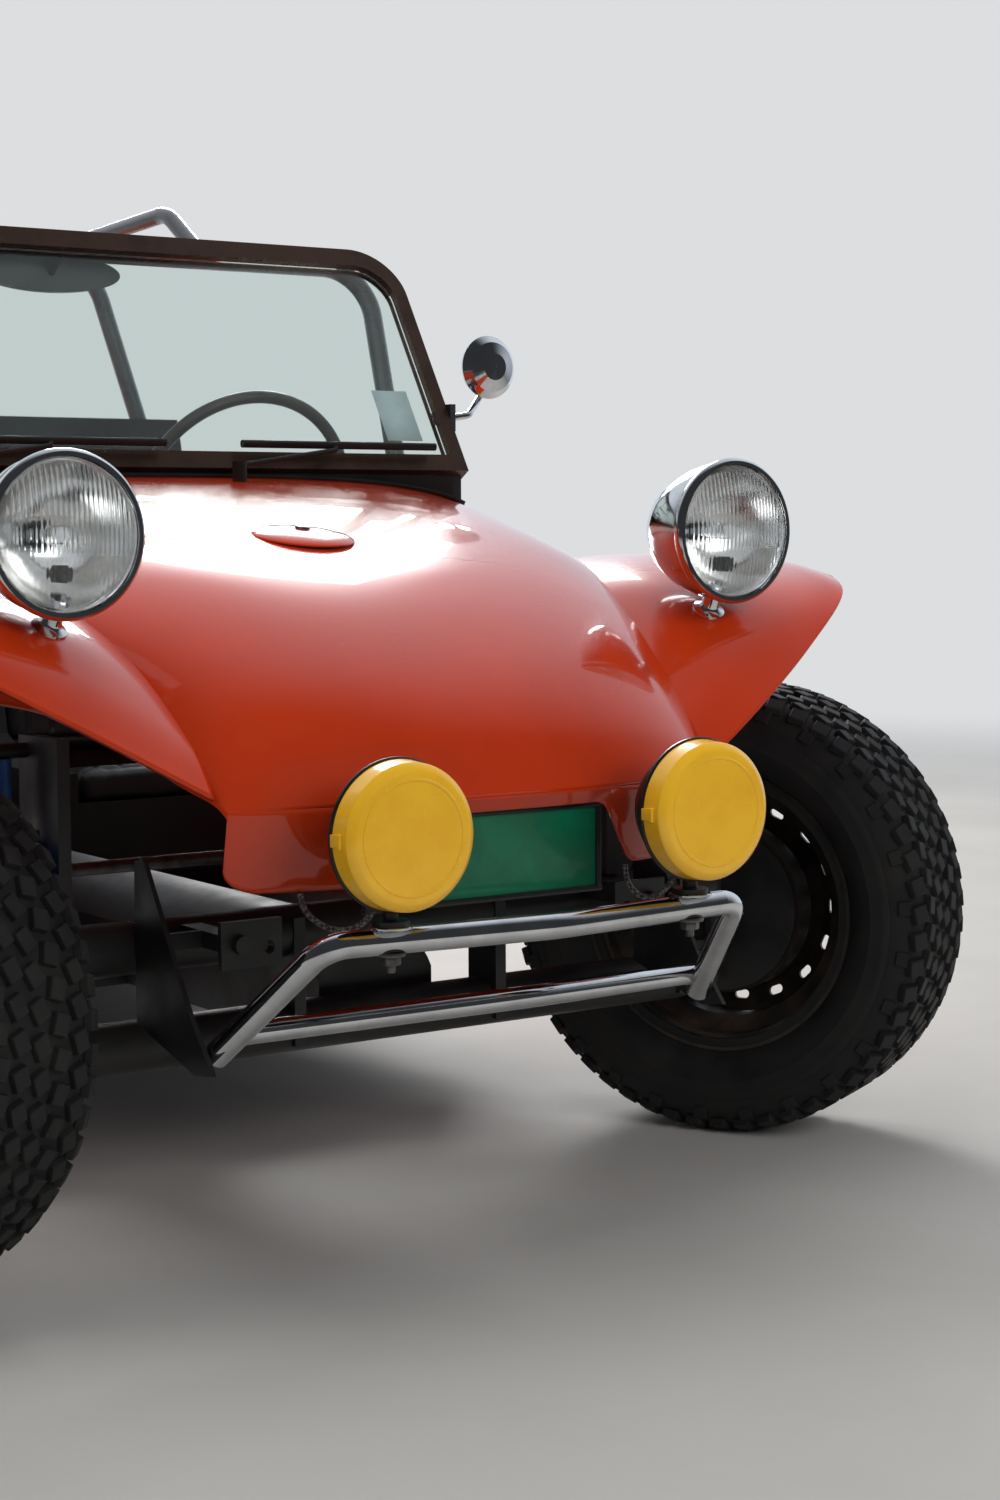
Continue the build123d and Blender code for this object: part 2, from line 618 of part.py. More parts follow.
# Driving lamps: a domed housing on a stud through the bumper tube, and a snap-on cover.
lamp_foot_z = 424 + bumper_radius
with BuildPart() as driving_lamps:
    for side in (-1, 1):
        hub = Plane(origin=(side * lamp_x, lamp_y + 16, lamp_z), x_dir=(0, 1, 0), z_dir=(1, 0, 0))
        spun(hub, ((0, 0), (0, 78), (14, 80), (40, 76), (66, 60), (lamp_depth - 16, 26), (lamp_depth - 16, 0)))
        seat_y = -519 + 31 * lamp_x / 292
        rod((side * lamp_x, seat_y, lamp_foot_z + fit_gap), (side * lamp_x, seat_y, lamp_foot_z + 8), 22)
        rod((side * lamp_x, seat_y, lamp_foot_z + 7), (side * lamp_x, seat_y, lamp_z - 60), 9)
pieces["driving_lamps"] = driving_lamps

with BuildPart() as lamp_covers:
    for side in (-1, 1):
        hub = Plane(origin=(side * lamp_x, lamp_y, lamp_z), x_dir=(0, 1, 0), z_dir=(1, 0, 0))
        spun(hub, ((0, 0), (0, 76), (6, lamp_radius), (34, lamp_radius + 2), (34, 81), (15.7, 81), (15.7, 0)))
pieces["lamp_covers"] = lamp_covers

# Lamp cables: a short sagging loop from each lamp's back to the hood's underside.
cable_radius = 3.5
cable_rows = (
    ("lamp_cable_right", [(-213, -477.8, 475.6), (-215, -466, 455), (-222, -450, 437), (-233, -432, 428),
                          (-245, -412, 430), (-256, -393, 441), (-262, -384, 454), (-263, -382, 467.7)]),
    ("lamp_cable_left", [(213, -477.8, 475.6), (212, -466, 455), (208, -450, 437), (202, -434, 428),
                         (195, -418, 430), (189, -408, 441), (186, -404, 454), (185.5, -403, 467.7)]),
)


def soft_bends(points):
    """Each bend as large as its two runs allow."""
    bends = []
    for before, here, after in zip(points, points[1:], points[2:]):
        into = Vector(*here) - Vector(*before)
        out = Vector(*after) - Vector(*here)
        half_turn = radians(into.get_angle(out)) / 2
        bends.append(0.45 * min(into.length, out.length) / (sin(half_turn) / cos(half_turn)))
    return bends


for name, points in cable_rows:
    bends = soft_bends(points)
    print(name, "bend radii", [round(b) for b in bends])
    with BuildPart() as cable:
        tube(points, cable_radius, bends)
    pieces[name] = cable

# Headlights: bullet shells on short feet over the fenders, each with a domed lens in a rolled ring.
with BuildPart() as headlight_shells:
    for side in (-1, 1):
        hub = Plane(origin=(side * headlight_x, headlight_y, headlight_z), x_dir=(0, 1, 0), z_dir=(1, 0, 0))
        with BuildSketch(hub) as bullet:
            with BuildLine():
                Polyline((headlight_depth, 0), (12, 0), (12, 88), (0, 88), (0, headlight_ring - 4),
                         (6, headlight_ring), (24, headlight_ring - 4))
                ThreePointArc((24, headlight_ring - 4), (116, 62), (headlight_depth - 3, 14))
                Line((headlight_depth - 3, 14), (headlight_depth, 0))
            make_face()
        revolve(bullet.sketch, axis=Axis(hub.origin, hub.x_dir), revolution_arc=360)
        foot = Vector(side * headlight_x, headlight_y + 60, 761.5)
        out = Vector(-0.38 * side, -0.63, 1).normalized()
        rod(tuple(foot + out * 2.1), tuple(foot + out * 8), 22)
        rod(tuple(foot + out * 13), (foot.X, foot.Y, 800), 12)
pieces["headlight_shells"] = headlight_shells
with BuildPart() as headlight_lenses:
    for side in (-1, 1):
        hub = Plane(origin=(side * headlight_x, headlight_y, headlight_z), x_dir=(0, 1, 0), z_dir=(1, 0, 0))
        with BuildSketch(hub) as dome:
            with BuildLine():
                Polyline((-14, 0), (11.7, 0), (11.7, 87.6), (2, 87.6))
                ThreePointArc((2, 87.6), (-9.88, 45), (-13.98, 3))
                Line((-13.98, 3), (-14, 0))
            make_face()
        revolve(dome.sketch, axis=Axis(hub.origin, hub.x_dir), revolution_arc=360)
pieces["headlight_lenses"] = headlight_lenses

# Number plate: a blank plate behind the chin's opening.
with BuildPart() as number_plate:
    with BuildSketch(across(0, -395.2, 0)):
        with Locations((-20, 494)):
            RectangleRounded(330, 100, 8)
    extrude(amount=4)
pieces["number_plate"] = number_plate

# Seats: low-back buckets with a raised rim round the cushion.
seat_width = 470.0
for name, side in (("seat_left", 1), ("seat_right", -1)):
    with BuildPart() as seat:
        with BuildSketch(along(side * seat_x - seat_width / 2)):
            with BuildLine():
                Polyline((1060, 290), (1500, 250), (1562, 1080), (1510, 1092), (1420, 380), (1060, 420), close=True)
            make_face()
        extrude(amount=seat_width)
        for edge in (-1, 1):
            x = side * seat_x + edge * (seat_width / 2 - 22) - 22
            with BuildSketch(along(x)):
                with BuildLine():
                    Polyline((1060, 290), (1500, 250), (1562, 1080), (1500, 1060), (1360, 520), (1250, 470),
                             (1070, 470), close=True)
                make_face()
            extrude(amount=44)
        box((side * seat_x - 150, side * seat_x + 150), (1120, 1160), (pan_z + fit_gap, 300))
        box((side * seat_x - 150, side * seat_x + 150), (1420, 1460), (pan_z + fit_gap, 300))
    pieces[name] = seat

# Steering column, its box on the upper beam tube, and the steering wheel.
box_end = Vector(*wheel_centre) + column_axis * 958
with BuildPart() as steering_column:
    start = Vector(*wheel_centre) + column_axis * (58 + fit_gap)
    rod(tuple(start), tuple(box_end), 19)
    box((pitman_x - 42, pitman_x + 42), (kingpin_y - 62, kingpin_y + 30), (rod_z + 64, rod_z + 112))
    box((pitman_x - 12, pitman_x + 12), (beam_y - 20, beam_y + 60), (upper_beam_z + beam_radius + fit_gap, rod_z + 80))
pieces["steering_column"] = steering_column

with BuildPart() as steering_wheel:
    rim_plane = Plane(origin=wheel_centre, x_dir=(1, 0, 0), z_dir=-column_axis)
    with BuildSketch(Plane(origin=rim_plane.origin + rim_plane.x_dir * steering_radius,
                           x_dir=rim_plane.x_dir, z_dir=rim_plane.y_dir)):
        Circle(12)
    revolve(axis=Axis(rim_plane.origin, rim_plane.z_dir), revolution_arc=360)
    with BuildSketch(rim_plane.offset(-58)):
        Circle(26)
    extrude(amount=56)
    with BuildSketch(rim_plane.offset(-12)):
        for spoke in (0, 120, 240):
            with Locations(Location((0, 0, 0), (0, 0, spoke - 90))):
                with Locations((steering_radius / 2 - 4, 0)):
                    Rectangle(steering_radius - 4, 30)
    extrude(amount=6)
pieces["steering_wheel"] = steering_wheel

# Shock absorbers: front pair beside the towers, rear pair behind the axle.
rear_hub_z = rear_tyre["radius"]
rear_shock_x = 405.0
with BuildPart() as front_shocks:
    for side in (-1, 1):
        x = side * shock_x
        rod((x, shock_y, lower_beam_z + 14 + fit_gap), (x, shock_y, tower_top - 130), 24)
        rod((x, shock_y, tower_top - 132), (x, shock_y, tower_top - 18 - 9 - fit_gap), 9)
pieces["front_shocks"] = front_shocks
with BuildPart() as rear_shocks:
    for side in (-1, 1):
        x = side * rear_shock_x
        rod((x, wheelbase + 118, 300), (x, wheelbase + 34, 500), 26)
        rod((x, wheelbase + 35, 498), (x, wheelbase + 12, 556), 10)
pieces["rear_shocks"] = rear_shocks

# Rear suspension: trailing spring plates on the torsion tube's ends, and axle tubes.
with BuildPart() as rear_arms:
    for side in (-1, 1):
        x = side * 482
        box((x - 8, x + 8), (torsion_y - 50, wheelbase + 30), (290, 400))
        box((side * (rear_shock_x + 26.6), side * 476), (wheelbase + 20, wheelbase + 140), (296, 326))
        rod((side * 156, wheelbase, rear_hub_z), (side * (rear_track / 2 - 66), wheelbase, rear_hub_z), 36)
        hub = Plane(origin=(side * rear_track / 2, wheelbase, rear_hub_z), x_dir=(side, 0, 0), z_dir=(0, -side, 0))
        spun(hub, ((-90, 0), (40, 0), (40, spindle_radius), (-18, spindle_radius), (-60, 24), (-60, 120), (-66, 120),
                   (-66, 40), (-90, 40)))
pieces["rear_arms"] = rear_arms

# Gearbox and engine: finned cylinders lie flat each side of the crankcase under an upright fan shroud.
with BuildPart() as gearbox:
    rod((0, torsion_y + 36 + fit_gap, rear_hub_z), (0, wheelbase - 72, rear_hub_z), 88)
    rod((-155.5, wheelbase, rear_hub_z), (155.5, wheelbase, rear_hub_z), 70)
    rod((0, wheelbase - 82, rear_hub_z), (0, wheelbase + 89.5, rear_hub_z), 130)
pieces["gearbox"] = gearbox

fin_pitch = 14.0
with BuildPart() as engine:
    box((-120, 120), (wheelbase + 90, wheelbase + 418), (250, 430))
    for side in (-1, 1):
        for y in (wheelbase + 173, wheelbase + 333):
            rod((side * 118, y, 385), (side * 330, y, 385), 52)
            for fin in range(12):
                x = side * (134 + fin * fin_pitch)
                box((x - 2.5, x + 2.5), (y - 72, y + 72), (318, 452))
        box((side * 345 - 22, side * 345 + 22), (wheelbase + 98, wheelbase + 408), (335, 435))
    rod((0, wheelbase + 418, 310), (0, wheelbase + 446, 310), 84)
pieces["engine"] = engine

with BuildPart() as fan_shroud:
    with BuildSketch(across(0, wheelbase + 238, 0)):
        with BuildLine():
            Polyline((-330, 452.5), (330, 452.5), (330, 560), (150, 650))
            ThreePointArc((150, 650), (0, 762), (-150, 650))
            Line((-150, 650), (-330, 560))
            Line((-330, 560), (-330, 452.5))
        make_face()
    extrude(amount=110)
    rod((0, wheelbase + 128, 610), (0, wheelbase + 98, 610), 120)
    rod((0, wheelbase + 227, 610), (0, wheelbase + 368, 610), 62)
    rod((0, wheelbase + 366, 610), (0, wheelbase + 392, 610), 70)
    box((-40, 40), (wheelbase + 268, wheelbase + 348), (430.3, 560))
pieces["fan_shroud"] = fan_shroud

with BuildPart() as exhaust:
    rod((-330, wheelbase + 513, 285), (330, wheelbase + 513, 285), 60)
    for side in (-1, 1):
        tube([(side * 250, wheelbase + 368, 317.6), (side * 250, wheelbase + 368, 250), (side * 250, wheelbase + 488, 250)], 21, [32])
        rod((side * 120, wheelbase + 538, 270), (side * 120, wheelbase + 632, 262), 19)
pieces["exhaust"] = exhaust

rear_bar_y = wheelbase + 618.0
with BuildPart() as rear_bumper:
    rail_x = tail_half - shell - 16 - fit_gap
    tube(hoop([(rail_x, wheelbase - 72, 588), (rail_x, rear_bar_y, 588), (rail_x, rear_bar_y, 352)]), 16, [70, 75, 75, 70])
    rod((-rail_x, rear_bar_y, 480), (rail_x, rear_bar_y, 480), 12)
pieces["rear_bumper"] = rear_bumper

with BuildPart() as tail_lamps:
    for side in (-1, 1):
        hub = Plane(origin=(side * 430, tail_y + fit_gap, 684), x_dir=(0, 1, 0), z_dir=(1, 0, 0))
        spun(hub, ((0, 0), (0, 46), (14, 46), (26, 40), (34, 20), (36, 0)))
pieces["tail_lamps"] = tail_lamps

# The frame of the finished model stands on the ground under the middle of the whole car.
nose_y = lamp_y
rear_y = rear_bar_y + 16
left_edge = pieces["front_tyre_left"].part.bounding_box().max.X
right_edge = pieces["front_tyre_right"].part.bounding_box().min.X
middle = Location((-(left_edge + right_edge) / 2, -(nose_y + rear_y) / 2, 0))
for label, piece in pieces.items():
    placed = piece.part.moved(middle)
    placed.label = label
    export_step(placed, f"parts/{label}.step")
print("pieces", len(pieces), "moved by", tuple(middle.position))
print("kingpin", kingpin_x, kingpin_y, "arm ends", arm_end, "pitman", pitman_end, "right hub", right_hub)
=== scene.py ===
import json
import math

import bpy
from mathutils import Matrix, Vector


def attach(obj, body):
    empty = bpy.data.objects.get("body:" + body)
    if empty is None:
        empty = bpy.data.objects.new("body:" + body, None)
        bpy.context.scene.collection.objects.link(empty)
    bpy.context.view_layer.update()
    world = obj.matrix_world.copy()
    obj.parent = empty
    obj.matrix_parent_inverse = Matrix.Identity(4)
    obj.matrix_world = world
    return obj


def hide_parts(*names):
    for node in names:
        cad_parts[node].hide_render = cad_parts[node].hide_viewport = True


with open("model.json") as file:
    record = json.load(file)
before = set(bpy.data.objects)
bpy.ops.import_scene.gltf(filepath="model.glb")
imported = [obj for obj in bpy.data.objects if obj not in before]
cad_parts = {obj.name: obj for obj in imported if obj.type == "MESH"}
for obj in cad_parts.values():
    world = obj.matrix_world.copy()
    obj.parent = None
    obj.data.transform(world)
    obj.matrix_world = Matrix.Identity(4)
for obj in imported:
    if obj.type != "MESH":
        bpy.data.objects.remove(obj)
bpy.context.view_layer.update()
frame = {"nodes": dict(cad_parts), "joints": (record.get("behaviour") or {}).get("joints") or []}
joints = {joint["name"]: joint for joint in frame["joints"]}

# Camera
# The car was drawn in millimetres from the ground under its front axle, x to its left and y to its
# tail. The rear hub ties that drawing to the frame, and the camera stands ahead of the right wheel.
rear_hub_mm = Vector((700, 2032, 355))
drawing_origin = Vector(joints["rear_left_spin"]["pos_m"]) - rear_hub_mm / 1000


def at(x, y, z):
    """Place in the frame of a point on the drawing."""
    return drawing_origin + Vector((x, y, z)) / 1000


eye_mm = (-1675.6, -2840.8, 878.1)
yaw, pitch, roll = (math.radians(a) for a in (34.5, 5.0, -0.3))
focal_mm, long_side_mm = 60.18, 36.0

ahead = Vector((math.sin(yaw) * math.cos(pitch), math.cos(yaw) * math.cos(pitch), -math.sin(pitch)))
level = Vector((math.cos(yaw), -math.sin(yaw), 0))
upright = level.cross(ahead)
right = level * math.cos(roll) + upright * math.sin(roll)
up = upright * math.cos(roll) - level * math.sin(roll)

bpy.ops.object.camera_add(location=at(*eye_mm))
camera = bpy.context.object
camera.rotation_euler = Matrix((right, up, -ahead)).transposed().to_euler()
camera.data.sensor_width = long_side_mm
camera.data.lens = focal_mm
camera.data.clip_start, camera.data.clip_end = 0.05, 200
bpy.context.scene.camera = camera

# Lamp cables
# Each driving lamp has a short lead in a grey braided sleeve. It drops out of the back of the lamp
# stem, swings behind the bumper tube and turns up into a grommet under the nose moulding.


def linear(hex_colour):
    """An sRGB hex colour in linear values."""
    channels = [int(hex_colour[i:i + 2], 16) / 255 for i in (1, 3, 5)]
    return [c / 12.92 if c <= 0.04045 else ((c + 0.055) / 1.055) ** 2.4 for c in channels] + [1]


def add_node(material, kind, settings=None, links=None):
    """One shader node, with values for its sockets or settings, and links from (node, output)."""
    made = material.node_tree.nodes.new(kind)
    for name, value in (settings or {}).items():
        if isinstance(name, int) or name in made.inputs:
            made.inputs[name].default_value = value
        else:
            setattr(made, name, value)
    for name, (source, output) in (links or {}).items():
        material.node_tree.links.new(source.outputs[output], made.inputs[name])
    return made


def new_material(name):
    material = bpy.data.materials.new(name)
    material.use_nodes = True
    material.node_tree.nodes.clear()
    return material


def close_material(material, shader):
    add_node(material, "ShaderNodeOutputMaterial", {}, {"Surface": (shader, 0)})
    return material


def mottled(name, clean, worn, patch_mm, rough, rougher, grain_mm, depth_mm, shader=None):
    """Two colours in soft patches, a roughness that follows them, and a fine raised grain."""
    material = new_material(name)
    place = add_node(material, "ShaderNodeTexCoord")
    patches = add_node(material, "ShaderNodeTexNoise",
                       {"Scale": 1000 / patch_mm, "Detail": 5.0, "Roughness": 0.6},
                       {"Vector": (place, "Object")})
    amount = add_node(material, "ShaderNodeMapRange",
                      {"From Min": 0.4, "From Max": 0.68}, {"Value": (patches, "Fac")})
    colour = add_node(material, "ShaderNodeMix",
                      {"data_type": "RGBA", 6: linear(clean), 7: linear(worn)}, {0: (amount, 0)})
    gloss = add_node(material, "ShaderNodeMapRange",
                     {"To Min": rough, "To Max": rougher}, {"Value": (amount, 0)})
    grain = add_node(material, "ShaderNodeTexNoise",
                     {"Scale": 1000 / grain_mm, "Detail": 3.0},
                     {"Vector": (place, "Object")})
    bump = add_node(material, "ShaderNodeBump", {"Distance": depth_mm / 1000, "Strength": 1.0},
                    {"Height": (grain, "Fac")})
    finish = add_node(material, "ShaderNodeBsdfPrincipled", shader or {},
                      {"Base Color": (colour, 2), "Roughness": (gloss, 0), "Normal": (bump, 0)})
    return close_material(material, finish)


def coat(material, *nodes):
    """Gives CAD nodes their finish."""
    for name in nodes:
        mesh = frame["nodes"][name].data
        if not mesh.materials:
            mesh.materials.append(material)
        for place in frame["nodes"][name].material_slots:
            place.material = material


cable_radius_mm = 3.5
braid_pitch_mm = 4.0       # drawn coarser than real braid, so that the weave shows

# Tinned copper braid over a rubber lead: a grey diagonal weave with a dull metal sheen.
braid = new_material("tinned_braid")
along_cable = add_node(braid, "ShaderNodeTexCoord")
slanted = add_node(braid, "ShaderNodeMapping", {"Rotation": (0.6, 0.5, math.radians(45))},
                   {"Vector": (along_cable, "Object")})
strands = add_node(braid, "ShaderNodeTexChecker",
                   {"Scale": 1000 / braid_pitch_mm, "Color1": linear("#8E8B85"),
                    "Color2": linear("#4A4845")}, {"Vector": (slanted, 0)})
braid_bump = add_node(braid, "ShaderNodeBump", {"Distance": 0.0006}, {"Height": (strands, "Fac")})
close_material(braid, add_node(braid, "ShaderNodeBsdfPrincipled",
                               {"Metallic": 0.6, "Roughness": 0.42},
                               {"Base Color": (strands, 0), "Normal": (braid_bump, 0)}))

cable_routes = {
    "right": [(-213, -477.8, 475.6), (-215, -466, 455), (-222, -450, 437), (-233, -432, 428),
              (-245, -412, 430), (-256, -393, 441), (-262, -384, 454), (-263, -382, 467.7)],
    "left": [(213, -477.8, 475.6), (212, -466, 455), (208, -450, 437), (202, -434, 428),
             (195, -418, 430), (189, -408, 441), (186, -404, 454), (185.5, -403, 467.7)],
}
for side, route in cable_routes.items():
    line = bpy.data.curves.new("lamp_lead_" + side, "CURVE")
    line.dimensions = "3D"
    line.bevel_depth = cable_radius_mm / 1000
    line.bevel_resolution = 5
    line.use_fill_caps = True
    spline = line.splines.new("NURBS")
    spline.points.add(len(route) - 1)
    for point, place in zip(spline.points, route):
        point.co = (*at(*place), 1)
    spline.order_u = 3
    spline.use_endpoint_u = True
    spline.resolution_u = 12
    line.materials.append(braid)
    lead = bpy.data.objects.new("lamp_lead_" + side, line)
    bpy.context.scene.collection.objects.link(lead)
    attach(lead, "root")
    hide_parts("lamp_cable_" + side)

# Studio
# A plain pale floor that fades out into the backdrop, under a wide soft lamp, with the strongest light
# from behind the car. Glossy paint and chrome see a sky that is bright behind the car and dark ahead.
bpy.context.scene.view_settings.view_transform = "Standard"
floor_radius, fade_from, fade_to = 12, 3.2, 8.5        # metres from the middle of the car
bright_side = (0.566, 0.824, 0.25)                     # the brightest way in the mirrored sky
room_light, dark_sky, bright_sky = 0.26, 0.05, 1.0

bpy.ops.object.select_all(action="DESELECT")
bpy.ops.mesh.primitive_circle_add(vertices=96, radius=floor_radius, fill_type="NGON",
                                  location=(0, 0, 0))
floor = bpy.context.object
floor.name = "studio_floor"
floor_paint = mottled("matt_floor_paint", "#C4C1BC", "#BCB9B4", 900, 0.7, 0.8, 6, 0.1)
floor.data.materials.append(floor_paint)
painted = next(n for n in floor_paint.node_tree.nodes if n.type == "BSDF_PRINCIPLED")
floor_place = add_node(floor_paint, "ShaderNodeTexCoord")
floor_reach = add_node(floor_paint, "ShaderNodeVectorMath", {"operation": "LENGTH"},
                       {0: (floor_place, "Object")})
floor_fade = add_node(floor_paint, "ShaderNodeMapRange",
                      {"interpolation_type": "SMOOTHSTEP", "From Min": fade_from, "From Max": fade_to,
                       "To Min": 1.0, "To Max": 0.0}, {"Value": (floor_reach, "Value")})
floor_paint.node_tree.links.new(floor_fade.outputs[0], painted.inputs["Alpha"])

world = bpy.data.worlds.new("studio")
bpy.context.scene.world = world
world.use_nodes = True
world.node_tree.nodes.clear()
seen_as = add_node(world, "ShaderNodeLightPath")
seen_through = add_node(world, "ShaderNodeMath", {"operation": "MAXIMUM"},
                        {0: (seen_as, "Is Camera Ray"), 1: (seen_as, "Is Transmission Ray")})
heading = add_node(world, "ShaderNodeTexCoord")
openness = add_node(world, "ShaderNodeVectorMath",
                    {"operation": "DOT_PRODUCT", 1: bright_side}, {0: (heading, "Generated")})
lighting = add_node(world, "ShaderNodeBackground",
                    {"Color": linear("#E9EEF5"), "Strength": room_light})
backdrop = add_node(world, "ShaderNodeBackground", {"Color": linear("#DCDEE0"), "Strength": 1.0})
mirrored_light = add_node(world, "ShaderNodeMapRange",
                          {"interpolation_type": "SMOOTHSTEP", "From Min": 0.0, "From Max": 0.75,
                           "To Min": dark_sky, "To Max": bright_sky}, {"Value": (openness, "Value")})
mirrored = add_node(world, "ShaderNodeBackground", {"Color": linear("#E2E9F4")},
                    {"Strength": (mirrored_light, 0)})
shaded = add_node(world, "ShaderNodeMixShader", {},
                  {0: (seen_as, "Is Glossy Ray"), 1: (lighting, 0), 2: (mirrored, 0)})
sky = add_node(world, "ShaderNodeMixShader", {},
               {0: (seen_through, 0), 1: (shaded, 0), 2: (backdrop, 0)})
add_node(world, "ShaderNodeOutputWorld", {}, {"Surface": (sky, 0)})

lamps = [  # name, place in metres, where it points, width, height, watts
    ("overhead", (-0.2, 0.6, 4.8), (0, 0.1, 0.6), 4.5, 5.0, 130),
    ("rear_key", (2.6, 3.8, 3.6), (0, -0.4, 0.5), 2.2, 2.2, 230),
    ("front_fill", (0.6, -5.2, 2.6), (0, -0.6, 0.6), 3.2, 2.2, 80),
    ("right_fill", (-4.6, 0.4, 2.4), (0, 0, 0.6), 3.0, 2.2, 44),
]
for name, place, target, width, height, watts in lamps:
    bpy.ops.object.light_add(type="AREA", location=place)
    lamp = bpy.context.object
    lamp.name = name
    lamp.data.shape = "RECTANGLE"
    lamp.data.size, lamp.data.size_y, lamp.data.energy = width, height, watts
    lamp.rotation_euler = (Vector(target) - Vector(place)).to_track_quat("-Z", "Y").to_euler()
    lamp.visible_glossy = name == "rear_key"

# Bodywork
# Glass-fibre mouldings in orange gelcoat, laid up in polished moulds: a deep gloss over a very
# slight ripple, with the colour a little browner where the coat has weathered.
laminate_mm = 6
gelcoat_look = {"Coat Weight": 0.85, "Coat Roughness": 0.03, "Coat IOR": 1.5,
                "Specular IOR Level": 0.15}
gelcoat = mottled("polished_gelcoat", "#C83A14", "#B83311", 420, 0.2, 0.3, 14, 0.02, gelcoat_look)
coat(gelcoat, "body_tub", "rear_fender_left", "rear_fender_right")


def seated(piece, material, body, slot, *replaced):
    """Finish and body of a new piece, and the drawn parts that it stands for; the slot is not used."""
    piece.data.materials.clear()
    piece.data.materials.append(material)
    for face in piece.data.polygons:
        face.use_smooth = True
    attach(piece, body)
    if replaced:
        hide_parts(*replaced)


def apply_modifier(piece, kind, **settings):
    """Adds one modifier and makes it part of the mesh."""
    modifier = piece.modifiers.new(kind.lower(), kind)
    for name, value in settings.items():
        setattr(modifier, name, value)
    bpy.context.view_layer.objects.active = piece
    bpy.ops.object.modifier_apply(modifier=modifier.name)


def between(rows, share):
    """Smooth values between evenly spaced rows, for a share from 0 to 1."""
    place = share * (len(rows) - 1)
    first = min(int(place), len(rows) - 2)
    past = place - first
    near = [rows[min(max(first + step, 0), len(rows) - 1)] for step in (-1, 0, 1, 2)]
    return [b + 0.5 * past * (c - a + past * (2 * a - 5 * b + 4 * c - d
                                              + past * (3 * (b - c) + d - a)))
            for a, b, c, d in zip(*near)]


def moulding(name, place, across_count, along_count, wall_mm, up_axis=2):
    """Laid-up shell: a grid bent to its form, then given the laminate's thickness inward."""
    bpy.ops.object.select_all(action="DESELECT")
    bpy.ops.mesh.primitive_grid_add(x_subdivisions=across_count, y_subdivisions=along_count, size=2)
    piece = bpy.context.object
    piece.name = name
    for vertex in piece.data.vertices:
        vertex.co = place(vertex.co.x, (1 + vertex.co.y) / 2)
    piece.data.update()
    facing = sum(face.normal[up_axis] * face.area for face in piece.data.polygons)
    if facing * (-1 if up_axis == 1 else 1) < 0:
        piece.data.flip_normals()
    if wall_mm:
        apply_modifier(piece, "SOLIDIFY", thickness=wall_mm / 1000, offset=-1)
    return piece


# Hood
# One moulding from the screen to the nose, crowned across, with shoulders that turn down to upright
# sides. Each row holds y and z on the centre line, half width, y and z where the side turns upright,
# squareness and roundness of the shoulder, and the foot of the side wall.
hood_rows = [
    (626, 958, 619, 626, 925, 4.0, 0.62, 470),
    (564, 962, 594, 564, 915, 4.0, 0.66, 520),
    (380, 935, 584, 380, 862, 4.6, 0.66, 690),
    (180, 899, 560, 180, 790, 4.8, 0.64, 690),
    (20, 862, 512, 20, 762, 4.4, 0.62, 680),
    (-120, 820, 452, -112, 722, 3.8, 0.59, 665),
    (-240, 768, 404, -222, 664, 3.4, 0.56, 628),
    (-335, 708, 372, -305, 612, 3.2, 0.53, 590),
    (-398, 640, 354, -348, 580, 3.0, 0.5, 572),
    (-424, 568, 346, -366, 563, 3.0, 0.5, 556),
]
crown_share = 0.82        # share of the moulding's width on the crown, before the upright sides
edge_sweep = 2.5          # how late towards its edge a row runs back


def crowned(out, top, edge, square, round_):
    """Height of a crowned panel, where out is 0 in the middle and 1 at its edge."""
    return edge + (top - edge) * max(0, 1 - out ** square) ** round_


def hood_place(s, t):
    y, z, half, edge_y, edge_z, square, round_, foot_z = between(hood_rows, t)
    out = math.sin(min(abs(s) / crown_share, 1) * math.pi / 2)
    height = crowned(out, z, edge_z, square, round_)
    if abs(s) > crown_share:
        height -= (abs(s) - crown_share) / (1 - crown_share) * (edge_z - foot_z)
    return at(math.copysign(half * out, s), y + (edge_y - y) * out ** edge_sweep, height)


hood_skin = moulding("hood_skin", hood_place, 88, 96, laminate_mm)

# The hood's chin turns under the nose's step line: two rounded lobes, with the number plate's opening
# between them.
chin_top, chin_foot, chin_half, chin_front = 566, 470, 346, -425
chin_sweep, chin_lean = 58, 14        # how far its ends run back, and how far its foot does
lobe_radius, lobe_rise = 40, 26
opening_half, opening_edge, opening_rise = 205, 60, 78


def chin_place(s, t):
    x = chin_half * math.sin(s * math.pi / 2)
    lobe = max(0, (abs(x) - (chin_half - lobe_radius)) / lobe_radius)
    opening = min(1, max(0, (opening_half - abs(x)) / opening_edge))
    low = chin_foot + lobe_rise * (1 - math.sqrt(max(0, 1 - lobe ** 2)))
    low += opening_rise * (3 * opening ** 2 - 2 * opening ** 3)
    y = chin_front + chin_sweep * (abs(x) / chin_half) ** edge_sweep + chin_lean * t
    return at(x, y, chin_top + (low - chin_top) * t)


chin = moulding("hood_chin", chin_place, 96, 14, laminate_mm, up_axis=1)
seated(chin, gelcoat, "root", "body_gelcoat")
seated(hood_skin, gelcoat, "root", "body_gelcoat", "hood")

